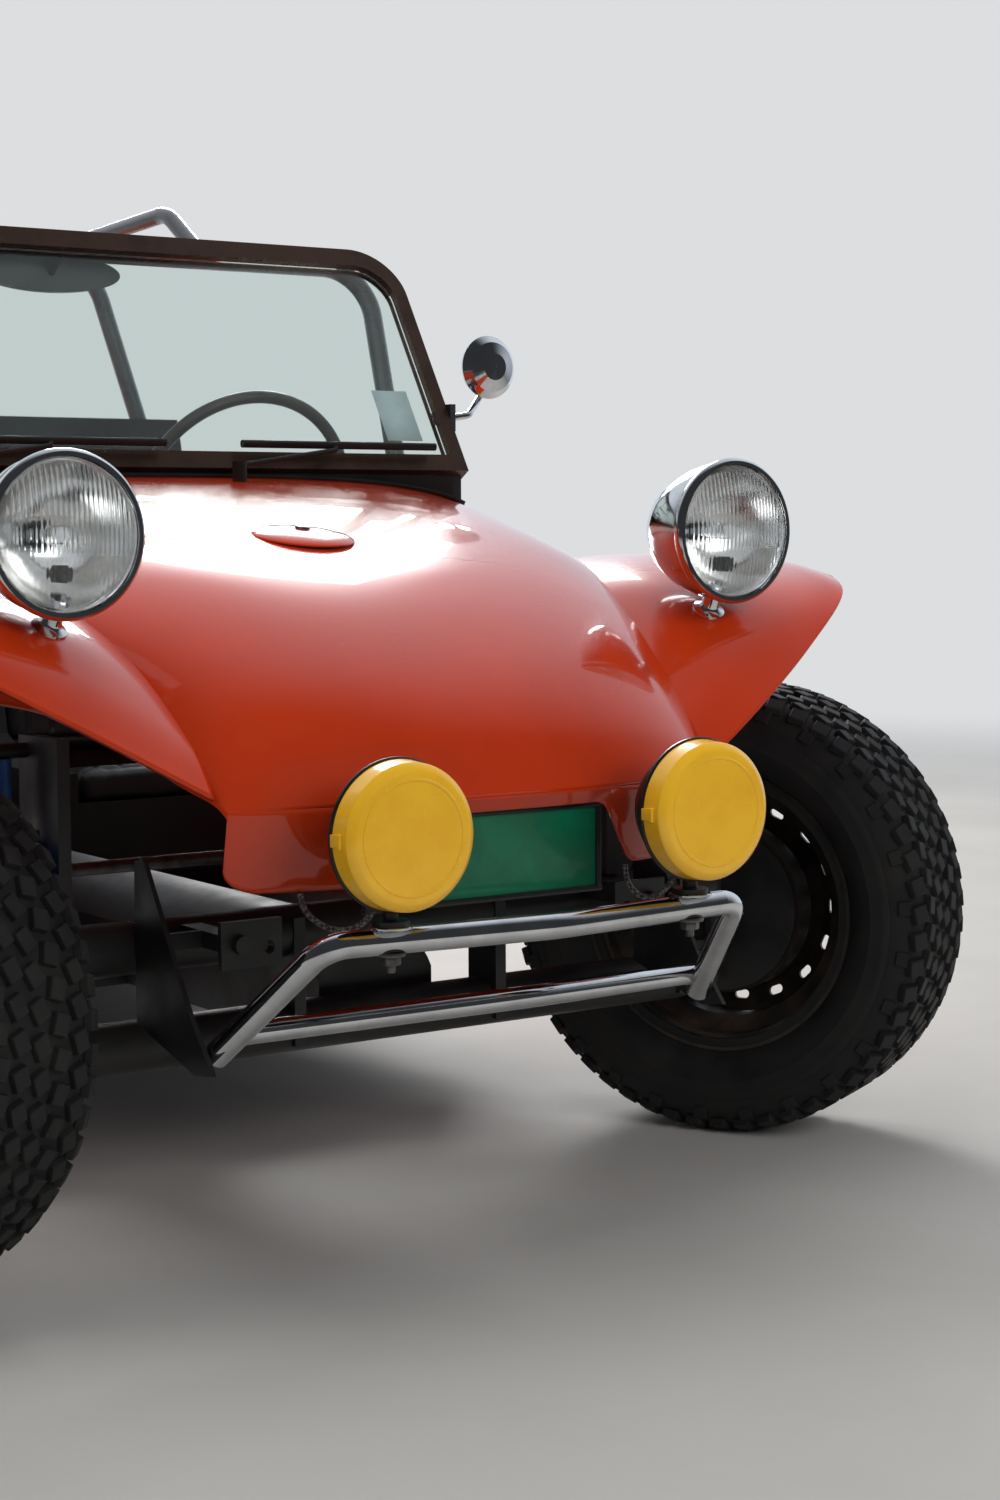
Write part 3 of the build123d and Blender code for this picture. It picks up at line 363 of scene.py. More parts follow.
# Front fenders
# Open mouldings that spring from the hood's flank and end in a lip, rolled down round the wheel. Each
# column holds x, then y and z from the tip over the wheel to the foot; they run from the hood outward.
fender_columns = [
    (356, (-356, 580), (-305, 640), (-205, 714), (-80, 772), (60, 808), (240, 826), (400, 812),
     (520, 720), (585, 560)),
    (470, (-326, 646), (-268, 715), (-190, 771), (-70, 812), (70, 829), (250, 828), (410, 796),
     (530, 690), (592, 510)),
    (590, (-282, 716), (-238, 766), (-165, 803), (-50, 830), (90, 841), (270, 832), (440, 780),
     (545, 650), (600, 470)),
    (700, (-228, 786), (-185, 806), (-115, 823), (-20, 836), (120, 843), (290, 833), (450, 772),
     (550, 640), (600, 470)),
    (742, (-160, 812), (-128, 819), (-75, 829), (20, 839), (150, 843), (300, 832), (450, 766),
     (552, 636), (600, 470)),
]
fender_edges = [(column[0],) for column in fender_columns]
fender_lines = list(zip(*(column[1:] for column in fender_columns)))
lip_start = 0.94           # share of the fender's width where its lip begins
lip_out, lip_drop = 5, 16
sides = ((1, "left"), (-1, "right"))

for side, name in sides:
    def fender_place(s, t, side=side):
        across = (s + 1) / 2
        spread = min(1, across / lip_start)
        x = between(fender_edges, spread)[0]
        y, z = between([between(line, spread) for line in fender_lines], t)
        rolled = max(0, (across - lip_start) / (1 - lip_start)) * math.pi / 2
        return at(side * (x + lip_out * math.sin(rolled)), y, z - lip_drop * (1 - math.cos(rolled)))

    fender = moulding("front_fender_skin_" + name, fender_place, 56, 72, laminate_mm)
    seated(fender, gelcoat, "root", "body_gelcoat", "front_fender_" + name)

# Bumpers and outer mirror
# Bent steel tube, buffed and then chromed: a bright mirror with a faint haze where it has weathered.
chrome = mottled("polished_chrome", "#D8DADC", "#C2C4C6", 60, 0.05, 0.14, 3, 0.004,
                 {"Metallic": 1.0})
coat(chrome, "front_bumper", "rear_bumper", "exterior_mirror")

# Chassis, running gear and steering
# Welded steel under brushed satin black, greyer where dust has settled. The tie rods are drawn steel
# with a thin film of oil and rust.
satin_black = mottled("satin_black_paint", "#1B1B1C", "#2A2826", 90, 0.38, 0.6, 1.6, 0.03)
steel = mottled("plain_steel", "#7B7A78", "#5C5650", 30, 0.35, 0.55, 1, 0.01, {"Metallic": 0.9})
coat(satin_black, "floor_pan", "front_beam", "front_arms", "rear_arms", "bumper_brackets",
     "steering_column", "knuckle_left", "knuckle_right", "pitman_arm")
coat(steel, "tie_rod_left", "tie_rod_right")

# Shock absorbers, engine and exhaust
# Blue enamel on the dampers, rough sand-cast alloy for the engine and gearbox, and steel tube with the
# brown bloom that heat gives it.
blue = mottled("blue_spring_enamel", "#2E5E9E", "#284F86", 30, 0.3, 0.5, 2, 0.02)
alloy = mottled("sand_cast_alloy", "#8B8A85", "#6A665F", 45, 0.45, 0.65, 1.6, 0.12,
                {"Metallic": 0.9})
exhaust_steel = mottled("heat_dulled_steel", "#6B6560", "#4F443B", 70, 0.38, 0.6, 2, 0.02,
                        {"Metallic": 0.9})
coat(blue, "front_shocks", "rear_shocks")
coat(alloy, "gearbox", "engine")
coat(exhaust_steel, "exhaust")

# Rims and brake drums
# Pressed steel rims in dark enamel, browned by brake dust, over drums of rough cast iron.
rim_black = mottled("wheel_enamel", "#221F1E", "#43372D", 55, 0.34, 0.6, 2, 0.02)
iron = mottled("cast_iron", "#2C2826", "#3D332C", 30, 0.6, 0.8, 1.4, 0.12, {"Metallic": 0.5})
coat(rim_black, "front_rim_left", "front_rim_right", "rear_rim_left", "rear_rim_right")
coat(iron, "front_drum_left", "front_drum_right", "rear_drum_left", "rear_drum_right")

# Roll cage
# Bent steel tube in a glossy mid grey.
cage_grey = mottled("grey_gloss_tube", "#5A5B5E", "#4A4A4C", 80, 0.22, 0.34, 2, 0.01,
                    {"Coat Weight": 0.4})
coat(cage_grey, "front_hoop", "main_hoop", "roof_bars")

# Lamp housings, inner mirror and fan shroud
# Pressed steel with a powder coat, which dries to a fine orange-peel grain.
textured_black = mottled("powder_coat_black", "#151516", "#201F1F", 60, 0.32, 0.45, 1.2, 0.05)
coat(textured_black, "interior_mirror", "driving_lamps", "fan_shroud")

# Dashboard and seat shells
# Both are covered in black vinyl with a leather grain.
vinyl = mottled("grained_vinyl", "#1A191A", "#262425", 120, 0.42, 0.56, 1.8, 0.18)
coat(vinyl, "dashboard", "seat_left", "seat_right")

# Windscreen and wipers
# Laminated glass, faintly green, in an extruded frame anodised dark bronze. The wipers are moulded
# rubber on their arms.
bronze = mottled("dark_bronze_anodising", "#5A463C", "#483930", 70, 0.26, 0.38, 1.0, 0.01,
                 {"Metallic": 0.75})
rubber = mottled("moulded_rubber", "#161616", "#232221", 50, 0.55, 0.75, 1.5, 0.05)
glass = new_material("laminated_glass")
close_material(glass, add_node(glass, "ShaderNodeBsdfPrincipled",
                               {"Base Color": linear("#E4F0EC"), "Roughness": 0.02, "IOR": 1.5,
                                "Transmission Weight": 1.0}))
coat(bronze, "windscreen_frame")
coat(glass, "windscreen_glass")
coat(rubber, "wipers")

# Windscreen seal
# A black rubber moulding fills the wedge between the straight foot of the screen frame and the
# crowned cowl, and folds forward over the paint in a thin lip.
seal_half, seal_y, seal_top = 586, 560, 968
lip_fold, lip_share = 14, 0.3         # how far the lip folds forward, and its share of the moulding
seal_wall, paint_gap = 6, 1
cowl_z, cowl_half, cowl_edge_z, cowl_square, cowl_round = (hood_rows[1][i] for i in (1, 2, 4, 5, 6))


def seal_place(s, t):
    x = seal_half * s
    cowl = crowned(abs(x) / cowl_half, cowl_z, cowl_edge_z, cowl_square, cowl_round)
    lip = max(0, lip_share - t) / lip_share
    wall = max(0, t - lip_share) / (1 - lip_share)
    return at(x, seal_y - lip_fold * lip ** 2, cowl + paint_gap + (seal_top - cowl) * wall)


seal = moulding("screen_seal", seal_place, 60, 10, 0, up_axis=1)
apply_modifier(seal, "SOLIDIFY", thickness=seal_wall / 1000, offset=0)
seated(seal, rubber, "root", "black_rubber")

# Headlights
# Chromed pressed-steel bullets on short stalks: a rolled rim holds a glass lens moulded with upright
# flutes over a silvered dish, with the main bulb at its heart and a small side lamp below it.


def turned(name, outline, seat, steps):
    """Ring spun about its own x axis from a closed outline of (x, radius) in millimetres, and
    then put on its seat."""
    bpy.ops.object.select_all(action="DESELECT")
    bpy.ops.mesh.primitive_circle_add(vertices=len(outline), radius=1)
    piece = bpy.context.object
    piece.name = name
    for vertex, (x, radius) in zip(piece.data.vertices, outline):
        vertex.co = (x / 1000, 0, max(radius, 0.02) / 1000)
    apply_modifier(piece, "SCREW", axis="X", angle=2 * math.pi, steps=steps, render_steps=steps,
                   use_merge_vertices=True, merge_threshold=1e-7)
    bpy.ops.object.mode_set(mode="EDIT")
    bpy.ops.mesh.select_all(action="SELECT")
    bpy.ops.mesh.remove_doubles(threshold=1e-6)
    bpy.ops.mesh.normals_make_consistent(inside=False)
    bpy.ops.object.mode_set(mode="OBJECT")
    piece.data.transform(seat)
    return piece


def facing_front(x, y, z):
    """Place whose own x runs to the back of the car."""
    return Matrix.Translation(at(x, y, z)) @ Matrix.Rotation(math.radians(90), 4, "Z")


def soften(piece, degrees=35):
    """Smooth shading with crisp edges where faces meet at more than this angle."""
    bpy.ops.object.select_all(action="DESELECT")
    piece.select_set(True)
    bpy.context.view_layer.objects.active = piece
    bpy.ops.object.shade_smooth_by_angle(angle=math.radians(degrees))


headlight_x, headlight_y, headlight_z = 483, -259, 876
lens_radius, lens_dome, lens_wall, lens_seat = 87.4, 14, 4, 3
side_lamp_aside, side_lamp_down = 6, 44
flute_pitch, flute_depth = 6.4, 1.0
flutes_end, flute_fade = 0.9, 8           # where they run out, and how sharply
low_band_z, low_band_share = -22, 0.35    # below this height they are shallower
stalk_back, stalk_z, stalk_in, stalk_ahead = 60, 767, 0.13, 0.62    # its place and its lean
body_outline = [(0, 87.8), (0, 93), (3, 96), (7, 97), (14, 95), (18, 92.5), (24, 93), (48, 90),
                (76, 83), (104, 70), (128, 53), (148, 32), (160, 16), (165, 0), (160, 0), (150, 22),
                (126, 47), (100, 66), (74, 79), (48, 86), (20, 89), (6, 88.6)]
dish_outline = [(9, 86), (22, 82), (42, 72), (60, 58), (74, 40), (82, 22), (85, 9), (87, 9),
                (84, 24), (76, 42), (61, 60), (43, 74), (22, 84), (9, 88)]
bulb_outline = [(34, 0), (35, 6), (40, 10), (50, 11), (60, 9), (64, 7), (86, 7), (88, 0)]
cap_outline = [(20, 0), (20, 9), (23, 11), (34, 11), (36, 0)]
side_lamp_outline = [(22, 0), (22, 8), (24, 10), (50, 10), (52, 0)]
foot_outline = [(0.4, 0), (0.4, 21), (2, 22), (5, 21.5), (9, 15), (14, 12), (46, 11.5), (50, 0)]

lens_glass = new_material("fluted_glass")
close_material(lens_glass, add_node(lens_glass, "ShaderNodeBsdfPrincipled",
                                    {"Base Color": linear("#F4F6F8"), "Roughness": 0.03,
                                     "IOR": 1.46, "Transmission Weight": 1.0}))
silvered = mottled("silvered_dish", "#E4E4E2", "#C9C7C2", 30, 0.12, 0.22, 4, 0.02,
                   {"Metallic": 1.0})


def lens_place(s, t):
    t = 2 * t - 1
    x = lens_radius * s * math.sqrt(1 - t * t / 2)
    z = lens_radius * t * math.sqrt(1 - s * s / 2)
    reach = (x * x + z * z) / lens_radius ** 2
    fluted = max(0, min(1, (flutes_end - reach) * flute_fade))
    fluted *= 1 if z > low_band_z else low_band_share
    rib = flute_depth * fluted * abs(math.sin(math.pi * x / flute_pitch))
    return Vector((x, -lens_dome * (1 - reach) - rib, z)) / 1000


for side, name in sides:
    hub = facing_front(side * headlight_x, headlight_y, headlight_z)
    body = turned("headlight_body_" + name, body_outline, hub, 96)
    seated(body, chrome, "root", "chrome_trim", "headlight_shells")
    soften(body)
    dish = turned("headlight_dish_" + name, dish_outline, hub, 72)
    seated(dish, silvered, "root", "chrome_trim")
    bulb = turned("headlight_bulb_" + name, bulb_outline, hub, 32)
    seated(bulb, lens_glass, "root", "lamp_glass")
    cap = turned("headlight_bulb_cap_" + name, cap_outline, hub, 32)
    seated(cap, silvered, "root", "chrome_trim")
    soften(cap)
    low = facing_front(side * headlight_x + side_lamp_aside, headlight_y,
                       headlight_z - side_lamp_down)
    side_lamp = turned("headlight_side_lamp_" + name, side_lamp_outline, low, 32)
    seated(side_lamp, rubber, "root", "lamp_black")
    lens = moulding("headlight_lens_" + name, lens_place, 110, 110, 0, up_axis=1)
    lens.data.transform(Matrix.Translation(at(side * headlight_x, headlight_y + lens_seat,
                                              headlight_z)))
    apply_modifier(lens, "SOLIDIFY", thickness=lens_wall / 1000, offset=-1)
    seated(lens, lens_glass, "root", "lamp_glass", "headlight_lenses")
    stalk_lean = Vector((-stalk_in * side, -stalk_ahead, 1)).to_track_quat("X", "Z")
    stalk_base = Matrix.Translation(at(side * headlight_x, headlight_y + stalk_back, stalk_z))
    foot = turned("headlight_foot_" + name, foot_outline,
                  stalk_base @ stalk_lean.to_matrix().to_4x4(), 48)
    seated(foot, chrome, "root", "chrome_trim")
    soften(foot)

# Driving lamp covers
# Snap-on covers moulded in yellow ABS: a flat face inside a bevelled rim, a fine raised ring, and a
# clip at each side that hooks over the edge of the black housing.
lamp_x, lamp_y, lamp_z = 213, -547, 544
cover_outline = [(0, 0), (0, 62), (-0.9, 63.2), (-0.9, 65.2), (0, 66.4), (0.2, 72.5), (1.2, 75),
                 (5.5, 81.2), (8, 82.8), (33, 84.6), (34.6, 83.8), (34.6, 81), (15, 80.8), (14, 0)]
ring_outline = [(33.5, 79), (33.5, 85.5), (35, 87), (38, 87), (40, 85), (40, 79)]
clip_size, clip_middle, clip_taper = (20, 18, 4.5), (25, 0, 84.6), 0.8
yellow = mottled("yellow_abs", "#FAC02A", "#F2B41E", 60, 0.22, 0.35, 2, 0.01,
                 {"Coat Weight": 0.3})


def bar(name, size, middle=(0, 0, 0)):
    """Plain bar of a size and place in millimetres, the only piece selected."""
    bpy.ops.object.select_all(action="DESELECT")
    bpy.ops.mesh.primitive_cube_add(size=1)
    piece = bpy.context.object
    piece.name = name
    piece.data.transform(Matrix.Translation(Vector(middle) / 1000)
                         @ Matrix.Diagonal((*(length / 1000 for length in size), 1)))
    return piece


for side, name in sides:
    hub = facing_front(side * lamp_x, lamp_y, lamp_z)
    cover = turned("lamp_cover_" + name, cover_outline, hub, 128)
    seated(cover, yellow, "root", "lamp_yellow", "lamp_covers")
    soften(cover, 24)
    clamp = turned("lamp_clamp_ring_" + name, ring_outline, hub, 96)
    seated(clamp, textured_black, "root", "lamp_black")
    soften(clamp)
    for turn in (0, 180):
        clip = bar(f"lamp_cover_clip_{name}_{turn}", clip_size, clip_middle)
        for vertex in clip.data.vertices:
            if vertex.co.x > clip_middle[0] / 1000:
                vertex.co.y *= clip_taper
        apply_modifier(clip, "BEVEL", width=0.0012, segments=3)
        clip.data.transform(hub @ Matrix.Rotation(math.radians(turn + 90), 4, "X"))
        seated(clip, yellow, "root", "lamp_yellow")

# Tyres
# All-terrain tyres moulded in one with their tread: a bulged side wall with fine mould rings, and rows
# of small canted blocks round the crown that carry over the shoulder as lugs.
tyre = mottled("tyre_rubber", "#1C1C1D", "#2B2A28", 70, 0.68, 0.9, 1.2, 0.08)
tyre_sizes = {"front": (327, 215, 152, 52), "rear": (355, 270, 204, 54)}  # radius, width, rim, blocks
crown_rows = [  # place across the half width, block width as a share, cant in degrees, start in blocks
    (0, 0.22, 24, 0),
    (0.29, 0.22, -20, 0.5),
    (0.57, 0.2, 18, 0.1),
]
shoulder_rows = [  # in from the wall, below the tread's top, length, width and height of a block,
    # cant and tilt in degrees, start in blocks, and how many crown blocks go to one
    (20, 12.2, 26, 26, 11, -12, 27, 0.6, 1),
    (8.6, 29, 22, 20, 6, 0, 70, 0.35, 2),
]
crown_drop, crown_length, crown_height, block_draft = 5.8, 27, 10.4, 0.9


def wheel_place(joint):
    """Place on a wheel's hub whose own x runs along the spindle."""
    spindle = Vector(joints[joint]["axis"]).normalized()
    forward = Vector((0, 0, 1)).cross(spindle)
    turn = Matrix((spindle, forward, Vector((0, 0, 1)))).transposed().to_4x4()
    return Matrix.Translation(Vector(joints[joint]["pos_m"])) @ turn


def tyre_outline(radius, width, rim):
    """Outside of the casing from bead to bead, then its inside back again."""
    wall, bead = width / 2, rim / 2
    outer = [(bead - 1.5, 191.5), (bead - 1.5, 209), (bead + 5, 213), (bead + 15, 220),
             (wall - 7, 236), (wall - 3, 247), (wall - 2.2, 249), (wall - 2.6, 251),
             (wall - 0.6, (radius + 205) / 2), (wall - 2, radius - 52), (wall - 3.4, radius - 50),
             (wall - 3.2, radius - 48), (wall - 7, radius - 34), (wall - 15, radius - 20),
             (wall - 26, radius - 12), (wall - 50, radius - 9.2), (0, radius - 8.4)]
    inner = [(0, radius - 24), (wall - 40, radius - 27), (wall - 22, radius - 42),
             (wall - 15, radius - 70), (bead + 2, 226), (bead - 10, 206), (bead - 12, 191.5)]
    return outer + [(-x, r) for x, r in reversed(outer[:-1])] + \
        [(-x, r) for x, r in reversed(inner)] + inner[1:]


def tread_row(row_x, radius, count, length, width, height, cant, tilt, phase):
    """One block, drawn in at its face and bevelled, then set round the wheel."""
    block = bar("tread_block", (width, length, height))
    for vertex in block.data.vertices:
        if vertex.co.z > 0:
            vertex.co.x *= block_draft
            vertex.co.y *= block_draft
    apply_modifier(block, "BEVEL", width=0.0011, segments=1)
    block.data.transform(Matrix.Rotation(phase, 4, "X")
                         @ Matrix.Translation(Vector((row_x, 0, radius)) / 1000)
                         @ Matrix.Rotation(tilt, 4, "Y") @ Matrix.Rotation(cant, 4, "Z"))
    bpy.ops.object.empty_add(rotation=(2 * math.pi / count, 0, 0))
    spacer = bpy.context.object
    apply_modifier(block, "ARRAY", count=count, use_relative_offset=False, use_object_offset=True,
                   offset_object=spacer)
    bpy.data.objects.remove(spacer)
    return block


def tyre_mesh(radius, width, rim, count):
    pieces = [turned("carcass", tyre_outline(radius, width, rim), Matrix.Identity(4), 128)]
    wall = width / 2
    pitch = 2 * math.pi / count
    for across, share, cant, phase in crown_rows:
        for side in ((1,) if across == 0 else (1, -1)):
            start = (phase + (0.25 if side < 0 else 0)) * pitch
            pieces.append(tread_row(side * across * wall, radius - crown_drop, count, crown_length,
                                    share * wall, crown_height, math.radians(cant * side), 0, start))
    for side in (1, -1):
        for inset, drop, length, block_width, height, cant, tilt, phase, fewer in shoulder_rows:
            pieces.append(tread_row(side * (wall - inset), radius - drop, count // fewer, length,
                                    block_width, height, math.radians(cant * side),
                                    math.radians(tilt * side), phase * pitch))
    bpy.ops.object.select_all(action="DESELECT")
    for piece in pieces:
        piece.select_set(True)
    bpy.context.view_layer.objects.active = pieces[0]
    bpy.ops.object.join()
    return bpy.context.object


for end, size in tyre_sizes.items():
    pattern = tyre_mesh(*size)
    for name in ("left", "right"):
        worn = pattern.copy()
        worn.data = pattern.data.copy()
        worn.name = f"{end}_tyre_{name}_tread"
        bpy.context.scene.collection.objects.link(worn)
        worn.data.transform(wheel_place(f"{end}_{name}_spin"))
        seated(worn, tyre, f"{end}_wheel_{name}", "tyre_rubber", f"{end}_tyre_{name}")
        soften(worn, 32)
    bpy.data.objects.remove(pattern)

# Number plate
# A bare plate in green enamel sits in a black moulded frame whose lip stands proud of it all round.
green = mottled("green_plate_enamel", "#0E6B4A", "#0B5D40", 60, 0.25, 0.36, 2, 0.01,
                {"Coat Weight": 0.4})
coat(green, "number_plate")
plate_x, plate_y, plate_z, strip_depth = -20, -399.4, 494, 8
plate_strips = [  # name, then from and to across and up the plate
    ("top", -171, 171, 48, 55),
    ("foot", -171, 171, -55, -48),
    ("left", 163, 170, -52, 52),
    ("right", -170, -163, -52, 52),
]
for name, x0, x1, z0, z1 in plate_strips:
    strip = bar("plate_frame_" + name, (x1 - x0, strip_depth, z1 - z0))
    apply_modifier(strip, "BEVEL", width=0.002, segments=3)
    strip.data.transform(Matrix.Translation(at(plate_x + (x0 + x1) / 2, plate_y,
                                               plate_z + (z0 + z1) / 2)))
    seated(strip, textured_black, "root", "black_rubber")
    soften(strip)

# Screen label
# A plain paper label stuck inside the screen's lower left corner.
screen_lean = math.radians(31.7)
screen_corner = at(502, 564, 981)
label_rise, label_depth = 98, 3.6        # its middle up the glass, and behind the glass's own middle
label_paper = mottled("label_paper", "#D9DEE6", "#CBD1DB", 30, 0.4, 0.5, 2, 0.0)
label = bar("screen_label", (66, 0.6, 96), (0, label_depth, label_rise))
label.data.transform(Matrix.Translation(screen_corner) @ Matrix.Rotation(-screen_lean, 4, "X"))
seated(label, label_paper, "root", "screen_glass")

# Filler cap
# A low domed cap in body colour stands on a dark rubber seat; its small lock barrel is plated.
cap_y, cap_z, hood_slope = 58, 872.5, math.radians(10.9)
cap_place = Matrix.Translation(at(0, cap_y, cap_z)) @ Matrix.Rotation(hood_slope, 4, "X") \
    @ Matrix.Rotation(math.radians(-90), 4, "Y")
cap = turned("filler_cap_dome", [(10.5, 0), (10, 22), (7.6, 44), (4.6, 60), (2.4, 67), (0.6, 69.6),
                                 (-1.2, 70), (-2, 69), (-1, 60), (-2, 0)], cap_place, 96)
seated(cap, gelcoat, "root", "body_gelcoat", "filler_cap")
soften(cap, 40)
cap_seat = turned("filler_cap_seat", [(-1, 0), (-1, 66.5), (-6, 67.5), (-14, 68), (-14, 0)],
                  cap_place, 96)
seated(cap_seat, rubber, "root", "black_rubber")
lock = turned("filler_cap_lock", [(9.8, 0), (9.8, 11), (13, 10.6), (14.2, 9), (14.2, 0)],
              cap_place, 40)
seated(lock, chrome, "root", "chrome_trim")
soften(lock)

# Lamp studs
# Each driving lamp stands on a plated washer over the bumper tube, held by a hexagon nut below it.


def upward(x, y, z):
    """Place whose own x points up."""
    return Matrix.Translation(at(x, y, z)) @ Matrix.Rotation(math.radians(-90), 4, "Y")


tube_front, tube_sweep, tube_bend_x, tube_z = -519, 31, 292, 424    # the bumper's swept upper tube
stud_y = tube_front + tube_sweep * lamp_x / tube_bend_x
nut_radius, nut_height, nut_drop = 11.5, 11, 21.5
for side, name in sides:
    washer = turned("lamp_washer_" + name, [(14, 9.4), (14, 25), (14.8, 26), (16.6, 26), (17.4, 25),
                                           (17.4, 9.4)], upward(side * lamp_x, stud_y, tube_z), 48)
    seated(washer, chrome, "root", "chrome_trim")
    soften(washer)
    bpy.ops.object.select_all(action="DESELECT")
    bpy.ops.mesh.primitive_cylinder_add(vertices=6, radius=nut_radius / 1000, depth=nut_height / 1000)
    nut = bpy.context.object
    nut.name = "lamp_nut_" + name
    apply_modifier(nut, "BEVEL", width=0.0009, segments=2)
    nut.data.transform(Matrix.Translation(at(side * lamp_x, stud_y, tube_z - nut_drop)))
    seated(nut, steel, "root", "rod_steel")
    soften(nut)
    stud = turned("lamp_stud_" + name, [(-36, 0), (-36, 4), (-35, 5), (-14, 5), (-14, 0)],
                  upward(side * lamp_x, stud_y, tube_z), 24)
    seated(stud, steel, "root", "rod_steel")
    soften(stud)
    saddle = turned("lamp_saddle_" + name,
                    [(-17, 5.2), (-17, 16), (-14.6, 17), (-13, 16), (-13, 5.2)],
                    upward(side * lamp_x, stud_y, tube_z), 40)
    seated(saddle, steel, "root", "rod_steel")

# Tail lamps
# Round red acrylic lenses moulded in rings, each held in a plated bezel on the tail panel.
red = mottled("red_acrylic", "#B01518", "#96080C", 20, 0.1, 0.18, 5, 0.1, {"Coat Weight": 0.6})
coat(red, "tail_lamps")
tail_lamp_x, tail_lamp_y, tail_lamp_z = 430, 2330, 684
for side, name in sides:
    hub = facing_front(side * tail_lamp_x, tail_lamp_y, tail_lamp_z)
    bezel = turned("tail_lamp_bezel_" + name, [(0.4, 46.2), (0.4, 53), (3, 54.5), (8, 53.5), (14, 49),
                                              (15, 47), (14, 46.2)], hub, 72)
    seated(bezel, chrome, "root", "chrome_trim")
    soften(bezel)

# Dash gauges
# Two dials stand either side of the column: a plated bezel, a black dial with plain white marks and
# an orange pointer.
dial_marks = mottled("dial_white", "#E8E8E2", "#DAD9D2", 30, 0.5, 0.6, 2, 0.0)
pointer_orange = mottled("pointer_orange", "#E8541E", "#DD4A18", 30, 0.45, 0.5, 2, 0.0)
gauge_y, gauge_z = 734, 868
mark_count, first_mark, mark_step, pointer_turn = 11, -125, 25, -112     # turns in degrees
for gauge, gauge_x in (("outer", 450), ("inner", 240)):
    hub = facing_front(gauge_x, gauge_y, gauge_z)
    bezel = turned("gauge_bezel_" + gauge, [(-4, 25.2), (0.3, 30.5), (1.6, 32), (4, 31.5), (5.4, 29.5),
                                           (4.6, 27.5), (1, 25.6)], hub, 64)
    seated(bezel, chrome, "root", "chrome_trim")
    soften(bezel)
    dial = turned("gauge_dial_" + gauge,
                  [(-14, 0), (-14, 25.6), (-2, 25.6), (-2, 24.8), (-8, 24), (-8, 0)], hub, 64)
    seated(dial, textured_black, "root", "lamp_black")
    for number in range(mark_count):
        mark = bar(f"gauge_mark_{gauge}_{number}", (0.8, 1.1, 5.2), (-7.7, 0, 20.5))
        mark_turn = math.radians(first_mark + mark_step * number)
        mark.data.transform(hub @ Matrix.Rotation(mark_turn, 4, "X"))
        seated(mark, dial_marks, "root", "lamp_black")
    pointer = bar("gauge_pointer_" + gauge, (0.8, 1.5, 22.5), (-6, 0, 8))
    pointer.data.transform(hub @ Matrix.Rotation(math.radians(pointer_turn), 4, "X"))
    seated(pointer, pointer_orange, "root", "lamp_black")

# Steering wheel
# A thin-rimmed wheel: a brown wrapped grip on a steel hoop, three dished spokes drilled for lightness
# and a round button at the hub. It turns with the column.
wheel_axis = Vector(joints["steering_wheel_turn"]["axis"]).normalized()
wheel_seat = Matrix.Translation(Vector(joints["steering_wheel_turn"]["pos_m"])) \
    @ wheel_axis.to_track_quat("X", "Z").to_matrix().to_4x4()
grip_radius, grip_tube, grip_sides = 193, 10.5, 20
spoke_inner, spoke_outer, spoke_width, spoke_wall = 37, 184, 34, 4.5
spoke_dish, spoke_taper = 17, 0.25        # how far the hub end sits back, how much the rim end narrows
spoke_holes = ((68, 9.5), (100, 8.5), (130, 7.5), (157, 6.5))      # distance from the hub, radius
grip_leather = mottled("brown_wheel_wrap", "#3A2E26", "#2B231E", 40, 0.4, 0.55, 1.6, 0.15)
grip_angles = [2 * math.pi * step / grip_sides for step in range(grip_sides)]
hoop = turned("steering_grip", [(grip_tube * math.cos(a), grip_radius + grip_tube * math.sin(a))
                                for a in grip_angles], wheel_seat, 128)
seated(hoop, grip_leather, "steering_wheel", "black_vinyl", "steering_wheel")
boss = turned("steering_boss", [(-58, 0), (-58, 24), (-54, 26), (-24, 27), (-20, 44), (-14, 45),
                                (-10, 38), (-10, 0)], wheel_seat, 64)
seated(boss, satin_black, "steering_wheel", "black_vinyl")
soften(boss)
button = turned("steering_button", [(-10, 0), (-10, 31), (-6, 32), (-2, 30), (1, 24), (2.4, 12),
                                    (2.8, 0)], wheel_seat, 64)
seated(button, chrome, "steering_wheel", "chrome_trim")
soften(button)
for number, turn in enumerate((90, 180, -90)):
    spoke = bar(f"steering_spoke_{number}", (spoke_wall, spoke_width, spoke_outer - spoke_inner),
                (0, 0, (spoke_inner + spoke_outer) / 2))
    for hole_at, hole_radius in spoke_holes:
        bpy.ops.mesh.primitive_cylinder_add(vertices=32, radius=hole_radius / 1000, depth=0.03,
                                            location=(0, 0, hole_at / 1000),
                                            rotation=(0, math.radians(90), 0))
        drill = bpy.context.object
        apply_modifier(spoke, "BOOLEAN", operation="DIFFERENCE", object=drill, solver="EXACT")
        bpy.data.objects.remove(drill)
    for vertex in spoke.data.vertices:
        reach = (vertex.co.z * 1000 - spoke_inner) / (spoke_outer - spoke_inner)
        vertex.co.x -= spoke_dish / 1000 * max(0, 1 - reach)
        vertex.co.y *= 1 - spoke_taper * max(0, reach)
    spoke.data.transform(wheel_seat @ Matrix.Rotation(math.radians(turn), 4, "X"))
    seated(spoke, steel, "steering_wheel", "rod_steel")
    soften(spoke, 20)

# Seat pads
# Foam cushions under black vinyl: crowned between their welts, drawn down along sewn flutes, and flat
# where they rest on the seat shells.
seat_centre, pad_width = 330, 368
cover_pressure, cover_steps, cover_slack = 4, 20, 3
flute_half, flute_run_out, plain_side = 5, 16, 20     # a flute's half width, its run-out, the side left
cross_seam, flute_stop = 32, 34                       # how far from the end they stay


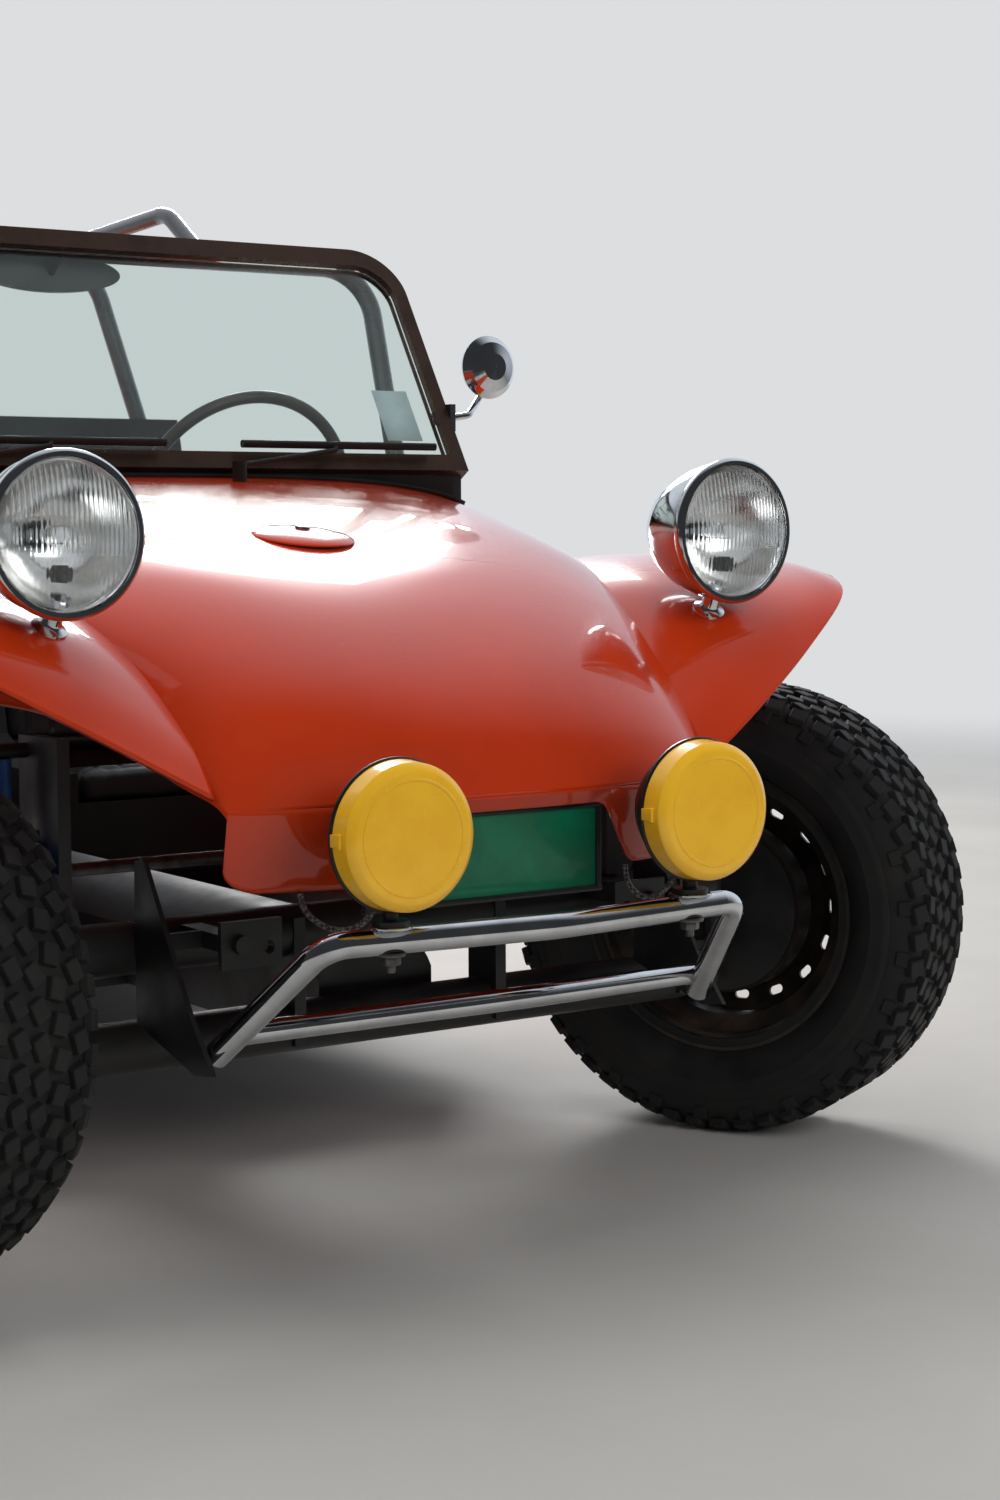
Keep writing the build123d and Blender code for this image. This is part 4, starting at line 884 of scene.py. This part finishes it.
def stuffed(name, width, length, height, reach_mm, flute_pitch_mm, flute_mm):
    """A pad inflated under its cover, then drawn in along its seams; sizes in millimetres."""
    pad = bar(name, (width, length, height))
    apply_modifier(pad, "BEVEL", width=0.014, segments=3)
    apply_modifier(pad, "REMESH", mode="VOXEL", voxel_size=0.006)
    start = [vertex.co.copy() for vertex in pad.data.vertices]
    cover = pad.modifiers.new("cover", "CLOTH")
    cover.settings.use_pressure = True
    cover.settings.uniform_pressure_force = cover_pressure
    cover.settings.effector_weights.gravity = 0
    for step in range(1, cover_steps + 1):
        bpy.context.scene.frame_set(step)
    bpy.ops.object.modifier_apply(modifier=cover.name)
    bpy.context.scene.frame_set(1)
    for vertex, before in zip(pad.data.vertices, start):
        shift = vertex.co - before
        if shift.length > reach_mm / 1000:
            vertex.co = before + shift.normalized() * reach_mm / 1000
    apply_modifier(pad, "SUBSURF", levels=1, render_levels=1)
    side_limit = width / 2 + cover_slack
    for vertex in pad.data.vertices:
        x, y, z = vertex.co * 1000
        x = max(-side_limit, min(side_limit, x))
        if z > 0:
            flute = round(x / flute_pitch_mm) * flute_pitch_mm - x
            inside = max(0, min(1, (length / 2 - flute_stop - abs(y)) / flute_run_out))
            if abs(x) < width / 2 - plain_side:
                z -= flute_mm * math.exp(-(flute / flute_half) ** 2) * inside
            cross = length / 2 - cross_seam - abs(y)
            z -= flute_mm * math.exp(-(cross / flute_half) ** 2)
        vertex.co = Vector((x, y, max(z, -height / 2))) / 1000
    pad.data.update()
    return pad


pads = [  # pad, y and z of its middle, and its tip in degrees
    (stuffed("seat_cushion", pad_width, 340, 52, reach_mm=10, flute_pitch_mm=46, flute_mm=7),
     1238, 427, -6.3),
    (stuffed("seat_back", pad_width, 590, 44, reach_mm=9, flute_pitch_mm=46, flute_mm=6),
     1446, 763, 82.8),
]
for side, name in sides:
    for pattern, y, z, tip in pads:
        pad = pattern.copy()
        pad.data = pattern.data.copy()
        pad.name = f"{pattern.name}_pad_{name}"
        bpy.context.scene.collection.objects.link(pad)
        pad.data.transform(Matrix.Translation(at(side * seat_centre, y, z))
                           @ Matrix.Rotation(math.radians(tip), 4, "X"))
        seated(pad, vinyl, "root", "black_vinyl")
for pattern, *_ in pads:
    bpy.data.objects.remove(pattern)
